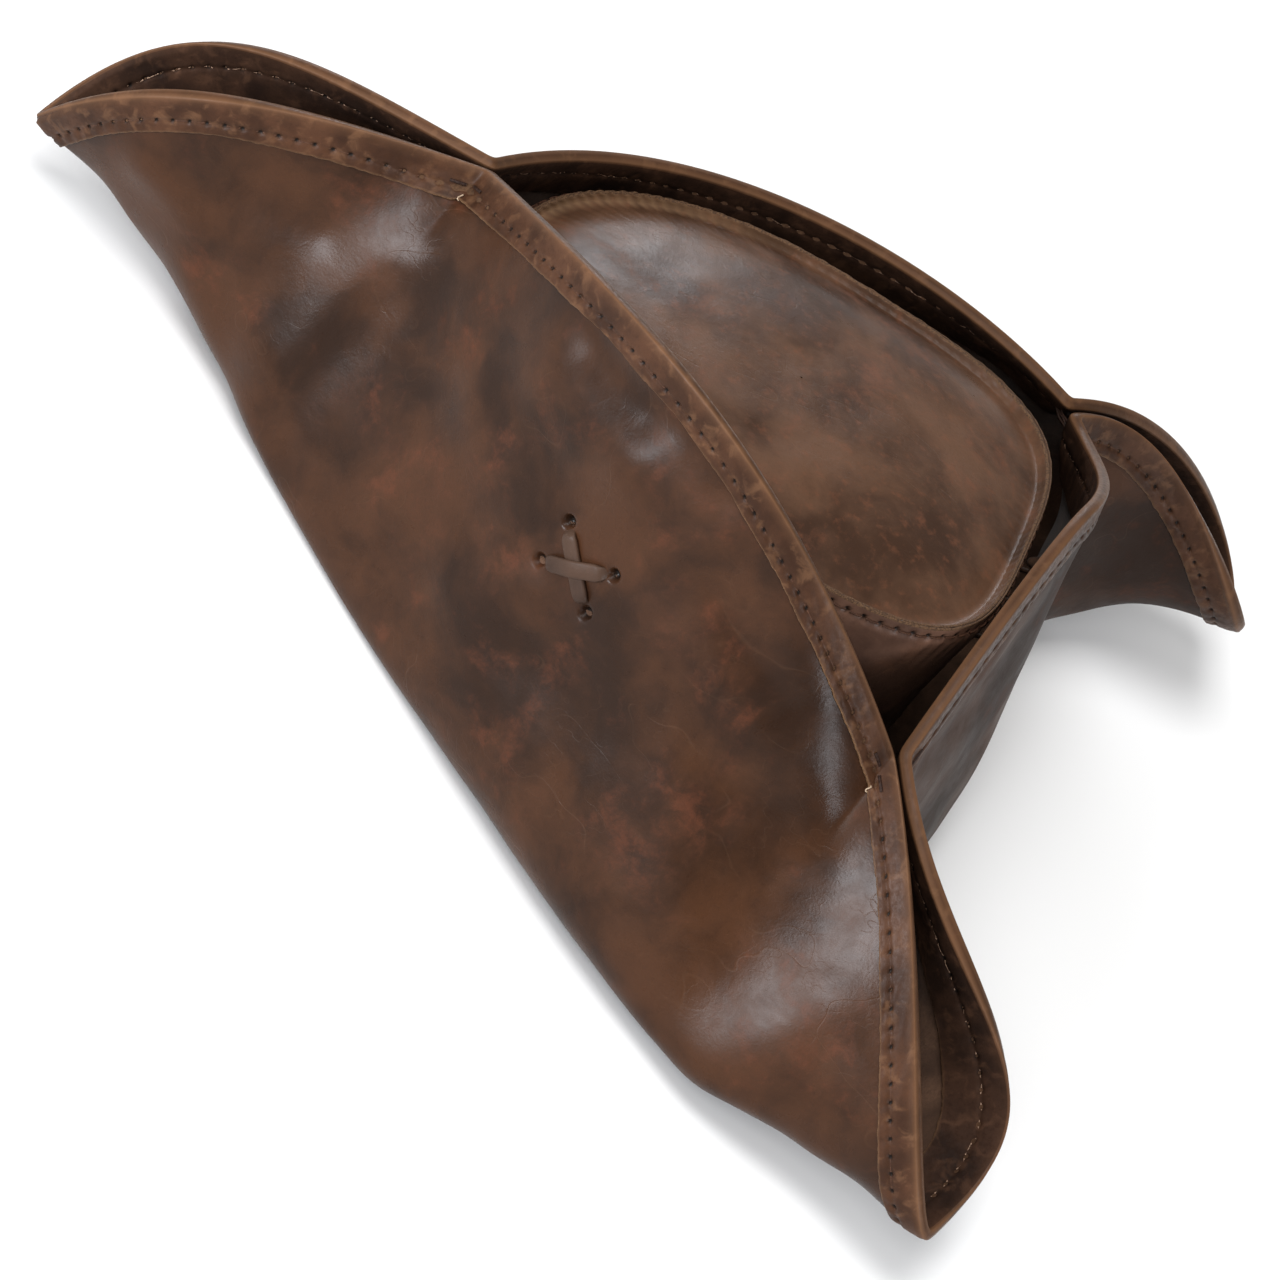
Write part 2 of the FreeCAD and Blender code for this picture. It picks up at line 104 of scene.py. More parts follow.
# ---- what the looks add to them ----
RIM_SHOWN = 3.2  # the ridge seam's rim over the pulled-up panel
RIM_ROWS = [(2.7, 0.5), (2.3, 0.15), (1.9, -0.2), (1.5, -0.5), (1.1, -0.7), (0.6, -0.95),
            (0.2, -1.15)]  # its inner side: below the rim's top, and how far in it stands
DOME_SWELL = 1.25  # the soft panel swells a little more than the frame's
PUCKER_PITCH = 4.6
SKIVE = 1.4  # leather pared away at the ridge seam's raw edges
FOLD_SQUARE = 0.5  # how square the binding sits over the edge: 1 is a half round
STITCH_SUNK = 1.0  # a binding stitch's ends below the surface
STITCH_SHOWN = 0.55  # and its middle, sunk in the groove
STITCH_STEPS = 9
BRIM_SEAM_HEIGHT = 4.0  # above the wall's foot
BACK_SEAM_STEPS = 120
HOLE_BEYOND = 1.3  # a lace's hole shows past the thong's end
HOLE_DEPTH = 3.0
HOLE_RADIUS = 2.0
STRAND_START = 4.5  # how far in a thong's rolled part starts, out of sight in its hole
TACK_HALF_LENGTH = 6.0
TACK_BAR_START = 2.5  # the tack's bar outside, from the corner along the seam
TACK_BAR_LENGTH = 5.5
TACK_STEPS = 15
THREAD_SIDES, THONG_SIDES = 8, 10  # of the round threads and strands

# ---- how finely the leather is modelled ----
EDGE_STEP = 0.55  # between columns, along the edge
BRIM_SKIP = 4  # the brim's mesh takes every fourth column
BRIM_ROWS = 190
PROFILE_SAMPLES = 161
PROFILE_CUTS = 241  # before a column is cut again into even samples
EDGE_CUTS = 600  # the same for a stretch of edge

# ---- how the leather gives ----
CORNER_NEAR = 1.6  # how far the corners are rounded at the free edge
CORNER_FAR = 20.0  # and lower down the flap
CORNER_OPENS = (5, 38)  # depths between which the one turns into the other
FOOT_KEPT = 30  # the last millimetres by the head oval stay as the frame has them
HOLLOWS = ((1.6, 44, 0.0), (0.4, 18, 7.3))  # height, size and seed of the leather's waves
EDGE_CALM = 30  # they fade in below the edge
FOOT_CALM = 45  # and fade out above the head oval
CREASE_FADE = 16  # creases fade in over this
LACE_NEAR = 18  # the brim keeps all its columns this near to a lace
LACE_PULL = 0.5  # how far a lace draws the leather in round its holes
LACE_PULL_REACH = 7.0


# ---- small helpers ----
def mirrored(point):
    return (-point[0], point[1], point[2])


def mirror_all(points):
    return [mirrored(p) for p in reversed(points)]


def unit(vectors):
    vectors = np.asarray(vectors, float)
    return vectors / np.linalg.norm(vectors, axis=-1, keepdims=True)


def noise_at(points, size, seed=0.0):
    """Smooth noise, about -1 to 1, with features of a size in millimetres."""
    flat = points.reshape(-1, 3) / size + seed
    values = [noise.noise(Vector(p)) for p in flat.tolist()]
    return np.array(values).reshape(points.shape[:-1])


def bump(distance, width):
    return np.exp(-(distance / width) ** 2)


def smooth_step(low, high, values):
    share = np.clip((values - low) / (high - low), 0, 1)
    return share * share * (3 - 2 * share)


def bezier(poles, u):
    p = np.asarray(poles, float)
    u = np.asarray(u, float)[:, None]
    v = 1 - u
    return v ** 3 * p[0] + 3 * v * v * u * p[1] + 3 * v * u * u * p[2] + u ** 3 * p[3]


def head_oval(angles, inset=0.0, z=0.0):
    turn = np.radians(angles)
    x = (HEAD_WIDTH / 2 - inset) * np.cos(turn)
    y = (HEAD_LENGTH / 2 - inset) * np.sin(turn)
    return np.stack([x, y, np.full_like(x, z)], axis=-1)


def head_arc(start, end, inset, z):
    """Four Bezier poles that follow the head oval between two angles."""
    reach = 4 / 3 * math.tan(math.radians(end - start) / 4)
    ends = head_oval(np.array([start, end], float), inset, z)
    turn = np.radians([start, end])
    pulls = np.stack([-(HEAD_WIDTH / 2 - inset) * np.sin(turn),
                      (HEAD_LENGTH / 2 - inset) * np.cos(turn),
                      np.zeros(2)], axis=-1) * reach
    return [ends[0], ends[0] + pulls[0], ends[1] - pulls[1], ends[1]]


# ---- the brim's ten stretches ----
# Each has Bezier poles along its free edge and along the fold where the brim turns up.
REAR_ACROSS = unit([REAR_TACK[1], -REAR_TACK[0], 0])
spread = REAR_ACROSS * TACK_HALF
FRONT_LEFT = (TACK_HALF, FRONT_TACK[1], FRONT_TACK[2])
REAR_LEFT = tuple(np.add(REAR_TACK, spread))
BACK_LEFT = tuple(np.subtract(REAR_TACK, spread))
LEFT_EDGES = [
    [FRONT_TIP, (27, -210, 81), (12, -174, 94), FRONT_LEFT],
    [FRONT_LEFT, (107, -53, 191), (111, 3, 185), REAR_LEFT],
    [REAR_LEFT, (148, 130, 99), (181, 177, 38), REAR_TIP],
    [REAR_TIP, (89, 211, 52), (155, 135, 96), BACK_LEFT],
    [BACK_LEFT, (69, 93, 131), (15, 96, 150), BACK_MIDDLE],
]
RIGHT_FLAP_EDGE = [mirrored(REAR_LEFT), (-110, 29, 111), (-111, -60, 88), mirrored(FRONT_LEFT)]
RIGHT_BACK_EDGE = [BACK_MIDDLE, (-37, 108, 140), (-78, 109, 107), mirrored(BACK_LEFT)]
EDGES = LEFT_EDGES + [RIGHT_BACK_EDGE, mirror_all(LEFT_EDGES[3]), mirror_all(LEFT_EDGES[2]),
                      RIGHT_FLAP_EDGE, mirror_all(LEFT_EDGES[0])]
LEFT_FOLDS = [
    [(0, -170, 3), (6, -170, 3), (43, -127, 0), (52, -106, 0)],
    [(52, -106, 0), (76, -52, 0), (150, 38, 0), (172, 88, 0)],
    [(172, 88, 0), (182, 110, 0), (172, 136, 12), (160, 148, 12)],
    [(160, 148, 12), (148, 160, 12), (92, 138, 0), (76, 136, 0)],
    [(76, 136, 0), (46, 134, 0), (18, 150, 0), (-8, 150, 0)],
]
RIGHT_FLAP_FOLD = [(-172, 88, 0), (-160, 30, 0), (-80, -48, 0), (-52, -106, 0)]
RIGHT_BACK_FOLD = [(-8, 150, 0), (-34, 150, 0), (-46, 134, 0), (-76, 136, 0)]
FOLDS = LEFT_FOLDS + [RIGHT_BACK_FOLD, mirror_all(LEFT_FOLDS[3]), mirror_all(LEFT_FOLDS[2]),
                      RIGHT_FLAP_FOLD, mirror_all(LEFT_FOLDS[0])]
OVAL_ANGLES = [-90, -55, 25, 42, 62, 95, 118, 138, 155, 235, 270]
LEFT_FLAP, RIGHT_FLAP, RIGHT_OF_BACK = 1, 8, 5  # stretches that the laces go through
BACK_FLAP = (3, 7)  # its first stretch, and the one after its last


def edge_normal(stretch, j):
    edge = np.asarray(EDGES[stretch], float)
    along = edge[min(j + 1, 3)] - edge[max(j - 1, 0)]
    up = edge[j] - np.asarray(FOLDS[stretch][j], float)
    return unit(np.cross(up, along))


def joined_normal(stretch, j):
    """From the grain side to the flesh side at a pole, mitred where two stretches meet."""
    here = edge_normal(stretch, j)
    if j == 0:
        there = edge_normal(stretch - 1, 3)
    elif j == 3:
        there = edge_normal((stretch + 1) % len(EDGES), 0)
    else:
        return here
    return (here + there) / (1 + here @ there)


def grain_rows(stretch):
    oval = head_arc(OVAL_ANGLES[stretch], OVAL_ANGLES[stretch + 1], FLANGE_INSET + LEATHER, 0)
    return [oval, FOLDS[stretch], EDGES[stretch]]


def flesh_rows(stretch):
    oval = head_arc(OVAL_ANGLES[stretch], OVAL_ANGLES[stretch + 1], FLANGE_INSET, LEATHER)
    floor = np.array([0.0, 0.0, 1.0])
    fold, edge = [], []
    for j in range(4):
        inward = joined_normal(stretch, j)
        fold.append(np.asarray(FOLDS[stretch][j], float)
                    + (inward + floor) / (1 + inward @ floor) * LEATHER)
        edge.append(np.asarray(EDGES[stretch][j], float) + inward * LEATHER)
    return [oval, fold, edge]


def profile_lines(rows, u, t):
    """Points [column, sample] of one side of a stretch."""
    lines = [bezier(row, u) for row in rows]
    weights = [(1 - t) ** 2, 2 * FOLD_WEIGHT * t * (1 - t), t ** 2]
    total = sum(line[:, None, :] * weight[None, :, None] for line, weight in zip(lines, weights))
    return total / sum(weights)[None, :, None]


def columns_of(stretch):
    """Values of u that step evenly along the stretch's edge, its far end left out."""
    fine = np.linspace(0, 1, EDGE_CUTS)
    points = bezier(EDGES[stretch], fine)
    length = np.concatenate([[0], np.cumsum(np.linalg.norm(np.diff(points, axis=0), axis=1))])
    count = int(length[-1] / EDGE_STEP)
    return np.interp(np.arange(count) * length[-1] / count, length, fine)


def by_depth(lines):
    """Each column re-cut so that its samples are an even share of its length, from the edge down."""
    down = lines[:, ::-1]
    steps = np.linalg.norm(np.diff(down, axis=1), axis=2)
    depth = np.concatenate([np.zeros((len(down), 1)), np.cumsum(steps, axis=1)], axis=1)
    wanted = np.linspace(0, 1, PROFILE_SAMPLES)
    even = np.empty((len(down), PROFILE_SAMPLES, 3))
    for k, (line, reached) in enumerate(zip(down, depth)):
        for axis in range(3):
            even[k, :, axis] = np.interp(wanted * reached[-1], reached, line[:, axis])
    return even, depth[:, -1]


class Side:
    """One side of the brim: points [column, sample] from the edge down to the head oval."""

    def __init__(self, rows_of):
        t = np.linspace(0, 1, PROFILE_CUTS)
        parts = [profile_lines(rows_of(s), columns_of(s), t) for s in range(len(EDGES))]
        self.points, self.length = by_depth(np.concatenate(parts))
        self.find_normals()

    def find_normals(self):
        """Unit vectors from the grain side to the flesh side."""
        along = np.roll(self.points, -2, axis=0) - np.roll(self.points, 2, axis=0)
        up = np.empty_like(self.points)
        up[:, 1:-1] = self.points[:, :-2] - self.points[:, 2:]
        up[:, 0] = self.points[:, 0] - self.points[:, 1]
        up[:, -1] = self.points[:, -2] - self.points[:, -1]
        self.normals = unit(np.cross(up, along))
        self.ups = unit(up)

    def _pick(self, table, depths):
        """Rows of a table at depths below the edge, one depth for each column."""
        place = np.clip(depths / self.length, 0, 1) * (PROFILE_SAMPLES - 1)
        low = np.minimum(place.astype(int), PROFILE_SAMPLES - 2)
        share = (place - low)[:, None]
        columns = np.arange(len(table))
        return table[columns, low] * (1 - share) + table[columns, low + 1] * share

    def at(self, depth, out=0.0):
        """Points at a depth below the edge, moved by out from the grain side to the flesh side."""
        depths = np.broadcast_to(np.asarray(depth, float), self.length.shape)
        place = self._pick(self.points, depths)
        normal = unit(self._pick(self.normals, depths))
        return place + normal * np.reshape(out, (-1, 1))


column_starts = np.cumsum([0] + [len(columns_of(s)) for s in range(len(EDGES))])
COLUMNS = int(column_starts[-1])


def column_at(stretch, u):
    share = np.searchsorted(columns_of(stretch), u)
    return int(column_starts[stretch] + share)


# ---- the leather's own folds and hollows ----
LACES = [("left", LEFT_FLAP, 0.47, 76.0), ("right", RIGHT_FLAP, 0.53, 44.0),
         ("back", RIGHT_OF_BACK, 0.60, 60.0)]

# (stretch, (u, depth) of one end, (u, depth) of the other, width, height): positive stands out.
# u runs from 0 to 1 along the stretch's edge, and the rest is in millimetres.
CREASES = [
    (0, (0.985, 16), (0.86, 78), 14, 3.6),
    (1, (0.07, 50), (0.14, 72), 13, -1.6),
    (1, (0.28, 36), (0.42, 37), 17, 3.8),
    (1, (0.46, 30), (0.60, 31), 12, 1.8),
    (1, (0.29, 18), (0.41, 20), 10, -3.0),
    (1, (0.46, 11), (0.58, 12), 9, -1.8),
    (1, (0.20, 62), (0.34, 78), 14, 1.8),
    (1, (0.66, 34), (0.84, 30), 9, -1.8),
    (1, (0.86, 30), (0.96, 28), 19, 2.0),
    (1, (0.80, 62), (0.94, 52), 15, -1.4),
    (1, (0.74, 78), (0.88, 96), 18, 1.0),
    (1, (0.50, 112), (0.66, 96), 14, -2.0),
    (1, (0.35, 118), (0.44, 98), 12, 1.8),
    (2, (0.30, 30), (0.45, 84), 12, 2.0),
    (2, (0.62, 30), (0.74, 60), 10, -1.6),
    (0, (0.30, 26), (0.46, 44), 10, 2.0),
    (0, (0.50, 44), (0.66, 90), 12, -2.4),
    (0, (0.62, 30), (0.80, 34), 10, -1.6),
    (8, (0.30, 30), (0.70, 30), 14, -1.5),
    (8, (0.10, 15), (0.16, 50), 12, 1.8),
    (9, (0.20, 25), (0.30, 70), 11, 2.0),
    (7, (0.70, 25), (0.60, 70), 11, -2.0),
    (4, (0.20, 30), (0.70, 40), 12, -1.8),
    (3, (0.80, 22), (0.66, 66), 11, 2.2),
    (5, (0.40, 35), (0.80, 30), 14, 1.4),
    (6, (0.30, 24), (0.40, 66), 11, -1.8),
]


def distance_to_line(points, start, end):
    run = end - start
    share = np.clip(((points - start) @ run) / (run @ run), 0, 1)
    return np.linalg.norm(points - (start + share[..., None] * run), axis=-1)


def relief(side):
    """How far the leather stands out, in millimetres, at each point of a side."""
    depth = np.linspace(0, 1, PROFILE_SAMPLES)[None, :] * side.length[:, None]
    loose = smooth_step(0, EDGE_CALM, depth) * smooth_step(0, FOOT_CALM, side.length[:, None] - depth)
    height = loose * sum(rise * noise_at(side.points, size, seed) for rise, size, seed in HOLLOWS)
    for stretch, start, end, width, rise in CREASES:
        ends = [side.points[column_at(stretch, u),
                            int(d / side.length[column_at(stretch, u)] * (PROFILE_SAMPLES - 1))]
                for u, d in (start, end)]
        crease = bump(distance_to_line(side.points, *ends), width)
        height += rise * crease * smooth_step(0, CREASE_FADE, depth)
    return height


def blurred(table, reach):
    """A table [column, ...] averaged round the hat over a reach in millimetres."""
    columns = int(3 * reach / EDGE_STEP)
    weights = bump(np.arange(-columns, columns + 1) * EDGE_STEP, reach * math.sqrt(2))
    weights /= weights.sum()
    total = np.zeros_like(table)
    for shift, weight in zip(range(-columns, columns + 1), weights):
        total += np.roll(table, shift, axis=0) * weight
    return total


def soften_corners(side):
    """Leather can't fold sharply where two stretches meet: less so the further from the edge."""
    depth = np.linspace(0, 1, PROFILE_SAMPLES)[None, :] * side.length[:, None]
    near, far = blurred(side.points, CORNER_NEAR), blurred(side.points, CORNER_FAR)
    kept = smooth_step(0, FOOT_KEPT, side.length[:, None] - depth)[..., None]
    share = smooth_step(*CORNER_OPENS, depth)[..., None]
    side.points = side.points * (1 - kept) + (near * (1 - share) + far * share) * kept
    side.find_normals()


def laid_out():
    """Both sides of the brim, with the same relief on each, so that its thickness stays."""
    grain, flesh = Side(grain_rows), Side(flesh_rows)
    soften_corners(grain)
    soften_corners(flesh)
    out = -relief(grain)[..., None]
    grain.points = grain.points + grain.normals * out
    flesh.points = flesh.points + grain.normals * out
    grain.find_normals()
    flesh.find_normals()
    return grain, flesh


GRAIN, FLESH = laid_out()


# ---- meshes ----
def add_object(name, data):
    made = bpy.data.objects.new(name, data)
    bpy.context.collection.objects.link(made)
    return made


def volume_of(points, faces):
    a, b, c, d = (points[faces[:, k]] for k in range(4))
    return float(np.sum(a * (np.cross(b, c) + np.cross(c, d))))


def make_object(name, points, faces, materials, node, face_material=None, values=None):
    """A piece that rides on the hat and stands for a node. Points are in millimetres."""
    if volume_of(points, faces) < 0:
        faces = faces[:, ::-1]
    mesh = bpy.data.meshes.new(name)
    mesh.from_pydata((points * MM).tolist(), [], faces.tolist())
    mesh.update()
    piece = add_object(name, mesh)
    for material in materials:
        mesh.materials.append(material)
    mesh.polygons.foreach_set("use_smooth", np.ones(len(faces), bool))
    if face_material is not None:
        mesh.polygons.foreach_set("material_index", face_material)
    for key, numbers in (values or {}).items():
        attribute = mesh.attributes.new(key, "FLOAT", "POINT")
        attribute.data.foreach_set("value", np.ravel(numbers).astype(np.float32))
    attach(piece, "root")
    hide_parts(node)


def grid_faces(columns, rows, close_columns=True, close_rows=True):
    """Quads over points[column, row], with the row of each."""
    i = np.arange(columns if close_columns else columns - 1)
    j = np.arange(rows if close_rows else rows - 1)
    i, j = np.meshgrid(i, j, indexing="ij")
    i, j = i.ravel(), j.ravel()
    i_next, j_next = (i + 1) % columns, (j + 1) % rows
    quads = np.stack([i * rows + j, i_next * rows + j, i_next * rows + j_next, i * rows + j_next],
                     axis=1)
    return quads, j


def make_skin(name, profile, materials, breaks, node, values=None, close_rows=True):
    """A piece of points[column, row] that goes round the hat; breaks are where its material changes."""
    faces, row = grid_faces(*profile.shape[:2], close_rows=close_rows)
    index = np.searchsorted(breaks, row, side="right")
    make_object(name, profile.reshape(-1, 3), faces, materials, node, index, values)


def tubes(paths, radius, sides=7):
    """Points and quads of round threads: paths is [thread, step, 3], radius may vary by step."""
    paths = np.asarray(paths, float)
    count, steps = paths.shape[:2]
    run = unit(np.gradient(paths, axis=1))
    helper = np.where(np.abs(run[..., 2:3]) > 0.9, [1.0, 0, 0], [0, 0, 1.0])
    across = unit(np.cross(run, helper))
    other = np.cross(run, across)
    turn = np.linspace(0, 2 * math.pi, sides, endpoint=False)
    radius = np.broadcast_to(np.asarray(radius, float), (steps,))[None, :, None, None]
    ring = (across[:, :, None] * np.cos(turn)[None, None, :, None]
            + other[:, :, None] * np.sin(turn)[None, None, :, None]) * radius
    points = (paths[:, :, None] + ring).reshape(-1, 3)
    one, _ = grid_faces(steps, sides, close_columns=False)
    faces = np.concatenate([one + k * steps * sides for k in range(count)])
    return points, faces


def joined(parts):
    points, faces, start = [], [], 0
    for one_points, one_faces in parts:
        points.append(one_points)
        faces.append(one_faces + start)
        start += len(one_points)
    return np.concatenate(points), np.concatenate(faces)


# ---- materials ----
class Look:
    """A node material that is put together in a few calls."""

    def __init__(self, name, roughness, specular, sheen=0.0):
        self.material = bpy.data.materials.new(name)
        self.material.use_nodes = True
        self.tree = self.material.node_tree
        self.shader = self.tree.nodes["Principled BSDF"]
        for key, value in (("Roughness", roughness), ("Specular IOR Level", specular),
                           ("Sheen Weight", sheen)):
            self.shader.inputs[key].default_value = value
        self.place = self.node("ShaderNodeTexCoord").outputs["Object"]
        self.height = None

    def link(self, source, target):
        self.tree.links.new(source, target)

    def put(self, socket, value):
        if isinstance(value, (int, float, tuple)):
            socket.default_value = value
        else:
            self.link(value, socket)

    def node(self, kind, inputs=None, **settings):
        """A node with its settings, and with values or other nodes' outputs on its inputs."""
        made = self.tree.nodes.new(kind)
        for key, value in settings.items():
            setattr(made, key, value)
        for key, value in (inputs or {}).items():
            self.put(made.inputs[key], value)
        return made

    def stretched(self, scale, turn=(0.0, 0.0, 0.0)):
        made = self.node("ShaderNodeMapping",
                         {"Scale": scale, "Rotation": turn, "Vector": self.place})
        return made.outputs["Vector"]

    def noise(self, size_mm, detail=5.0, distortion=0.0, place=None, roughness=0.55,
              output="Fac"):
        made = self.node("ShaderNodeTexNoise",
                         {"Scale": 1 / (size_mm * MM), "Detail": detail, "Roughness": roughness,
                          "Distortion": distortion, "Vector": place or self.place})
        return made.outputs[output]

    def cells(self, size_mm):
        made = self.node("ShaderNodeTexVoronoi",
                         {"Scale": 1 / (size_mm * MM), "Vector": self.place})
        return made.outputs["Distance"]

    def crease(self, size_mm, width, place):
        """Thin wandering lines where noise passes its middle value."""
        away = self.calc("SUBTRACT", self.noise(size_mm, detail=2.0, place=place), 0.5)
        return self.between(self.calc("ABSOLUTE", away), 0.0, width, 1.0, 0.0)

    def wavering(self, size_mm, amount_mm):
        """The surface's place, pushed about by noise, so that lines drawn on it wander."""
        push = self.noise(size_mm, detail=3.0, roughness=0.5, output="Color")
        made = self.node("ShaderNodeVectorMath",
                         {0: push, 1: (amount_mm * MM,) * 3, 2: self.place},
                         operation="MULTIPLY_ADD")
        return made.outputs["Vector"]

    def between(self, value, low, high, to_low=0.0, to_high=1.0):
        made = self.node("ShaderNodeMapRange",
                         {"Value": value, "From Min": low, "From Max": high,
                          "To Min": to_low, "To Max": to_high},
                         interpolation_type="SMOOTHSTEP")
        return made.outputs["Result"]

    def calc(self, operation, one, other=0.0):
        made = self.node("ShaderNodeMath", {0: one, 1: other}, operation=operation)
        return made.outputs["Value"]

    def times(self, one, other):
        return self.calc("MULTIPLY", one, other)

    def mix(self, share, one, other):
        made = self.node("ShaderNodeMix", {"Factor": share, "A": one, "B": other},
                         data_type="RGBA")
        return made.outputs["Result"]

    def value(self, name):
        return self.node("ShaderNodeAttribute", attribute_name=name).outputs["Fac"]

    def raise_by(self, value, height_mm, strength=1.0):
        """Adds relief; later calls lie on earlier ones."""
        inputs = {"Strength": strength, "Distance": height_mm * MM, "Height": value}
        if self.height is not None:
            inputs["Normal"] = self.height
        self.height = self.node("ShaderNodeBump", inputs).outputs["Normal"]

    def finish(self, color, roughness=None):
        self.put(self.shader.inputs["Base Color"], color)
        if roughness is not None:
            self.link(roughness, self.shader.inputs["Roughness"])
        if self.height is not None:
            self.link(self.height, self.shader.inputs["Normal"])
        return self.material


# painted shade: black put into holes and pits, where little light reaches
HOLE_SHADE_BLACK = (0.006, 0.004, 0.003, 1.0)
BACK_DULLER = 0.26  # the back flap's extra roughness


def rgb(red, green, blue):
    """A colour given as a paint chart does, 0 to 255, made linear."""
    def linear(channel):
        share = channel / 255
        return share / 12.92 if share <= 0.04045 else ((share + 0.055) / 1.055) ** 2.4
    return (linear(red), linear(green), linear(blue), 1.0)


def pull_up_leather(name, dark, main, warm, pale, gloss, streaks=None, marked=False):
    """Waxed leather: cloudy, rubbed paler and redder in patches, creased, with a soft shine.

    A marked one's mesh says where it is rubbed paler, where painted black shade fills a hole, and where
    it is duller.
    """
    look = Look(name, gloss, specular=0.12)
    loose = look.wavering(34, 26)
    clouds = look.noise(46, detail=6, place=loose)
    patches = look.noise(26, detail=9, place=loose, roughness=0.66)
    blotches = look.noise(10, detail=8, place=look.wavering(9, 7), roughness=0.7)
    color = look.mix(look.between(clouds, 0.36, 0.64), dark, main)
    rubbed = look.times(look.between(patches, 0.50, 0.66), look.between(blotches, 0.40, 0.68))
    color = look.mix(look.times(rubbed, 0.55), color, warm)
    dusty = look.between(look.noise(1.3, detail=4, roughness=0.7), 0.50, 0.78, 0.0, 0.30)
    color = look.mix(dusty, color, dark)
    zone = look.between(look.noise(36, detail=4), 0.46, 0.62)
    grained = look.stretched((1.0, 0.45, 0.7), (0.4, 0.2, 0.7))
    long_lines = look.times(look.crease(26, 0.006, grained), zone)
    short_lines = look.times(look.crease(8, 0.010, grained), zone)
    color = look.mix(look.times(long_lines, 0.05), color, pale)
    color = look.mix(look.times(short_lines, 0.03), color, pale)
    if streaks is not None:
        lines = look.noise(7, detail=6, place=look.stretched(streaks), roughness=0.65)
        color = look.mix(look.times(look.between(lines, 0.50, 0.74), 0.42), color, warm)
    rough = look.between(patches, 0.30, 0.75, gloss - 0.08, gloss + 0.14)
    if marked:
        color = look.mix(look.value("rub"), color, pale)
        # painted shade: black where the mesh marks a hole
        color = look.mix(look.value("hole"), color, HOLE_SHADE_BLACK)
        rough = look.calc("ADD", rough, look.times(look.value("dull"), BACK_DULLER))
    look.raise_by(look.noise(11, detail=5, place=loose), 0.35, 0.35)
    look.raise_by(look.noise(4, detail=5, distortion=0.8), 0.22, 0.30)
    look.raise_by(look.cells(0.9), 0.06, 0.30)
    look.raise_by(look.noise(0.5, detail=3), 0.04, 0.35)
    look.raise_by(long_lines, -0.07, 0.5)
    look.raise_by(short_lines, -0.04, 0.5)
    return look.finish(color, rough)


def suede(name, dark, main):
    """The leather's flesh side: matt, short-fibred and cloudy."""
    look = Look(name, 0.92, specular=0.12, sheen=0.05)
    color = look.mix(look.between(look.noise(26, detail=7, distortion=0.6), 0.35, 0.65), dark, main)
    fibres = look.noise(0.7, detail=6, place=look.stretched((1.0, 1.0, 0.35)), roughness=0.7)
    color = look.mix(look.between(fibres, 0.40, 0.62, 0.0, 0.35), color, dark)
    look.raise_by(fibres, 0.16, 0.8)
    look.raise_by(look.noise(3.5, detail=4), 0.25, 0.3)
    return look.finish(color)


def band_leather(name, dark, main, pale, raw, gloss, specular):
    """The edge binding: satin, paler where it is folded with a painted highlight along the fold, furry
    where it is cut, painted black shade in its holes.
    """
    look = Look(name, gloss, specular=specular)
    color = look.mix(look.between(look.noise(14, detail=6), 0.35, 0.65), dark, main)
    specks = look.noise(1.6, detail=6, roughness=0.7)
    color = look.mix(look.between(specks, 0.48, 0.68, 0.0, 0.40), color, dark)
    warm = look.noise(5.5, detail=5, distortion=0.5)
    color = look.mix(look.between(warm, 0.5, 0.7, 0.0, 0.35), color, pale)
    # partly real, partly painted highlight: paler where the leather is folded, most along the fold's
    # corners
    color = look.mix(look.times(look.value("fold"), 0.60), color, pale)
    fur = look.noise(0.8, detail=4, roughness=0.7)
    torn = look.times(look.value("cut"), look.between(fur, 0.35, 0.6, 0.45, 1.0))
    color = look.mix(torn, color, raw)
    # painted shade: black in the stitch holes
    color = look.mix(look.value("hole"), color, HOLE_SHADE_BLACK)
    rough = look.between(specks, 0.3, 0.7, gloss - 0.09, gloss + 0.11)
    look.raise_by(look.noise(2.2, detail=5), 0.10, 0.4)
    look.raise_by(look.cells(0.7), 0.05, 0.35)
    look.raise_by(look.times(look.value("cut"), fur), 0.25, 0.8)
    return look.finish(color, rough)


def raw_edge(name, main, dark):
    """Cut leather seen end on."""
    look = Look(name, 0.85, specular=0.25)
    fibres = look.noise(0.6, detail=5, roughness=0.7)
    look.raise_by(fibres, 0.12, 0.8)
    return look.finish(look.mix(look.between(fibres, 0.4, 0.62), main, dark))


def waxed_thread(name, main, pale):
    look = Look(name, 0.6, specular=0.15)
    plies = look.noise(0.45, detail=3, roughness=0.6)
    look.raise_by(plies, 0.08, 0.8)
    return look.finish(look.mix(look.between(plies, 0.4, 0.65), main, pale))


BRIM_GRAIN = pull_up_leather("brim_grain", rgb(35, 21, 13), rgb(59, 36, 22), rgb(82, 45, 28),
                             rgb(118, 88, 66), 0.31, marked=True)
CROWN_GRAIN = pull_up_leather("crown_grain", rgb(58, 39, 28), rgb(94, 67, 50),
                              rgb(112, 70, 49), rgb(126, 98, 72), 0.35,
                              streaks=(1.6, 1.6, 0.16), marked=True)
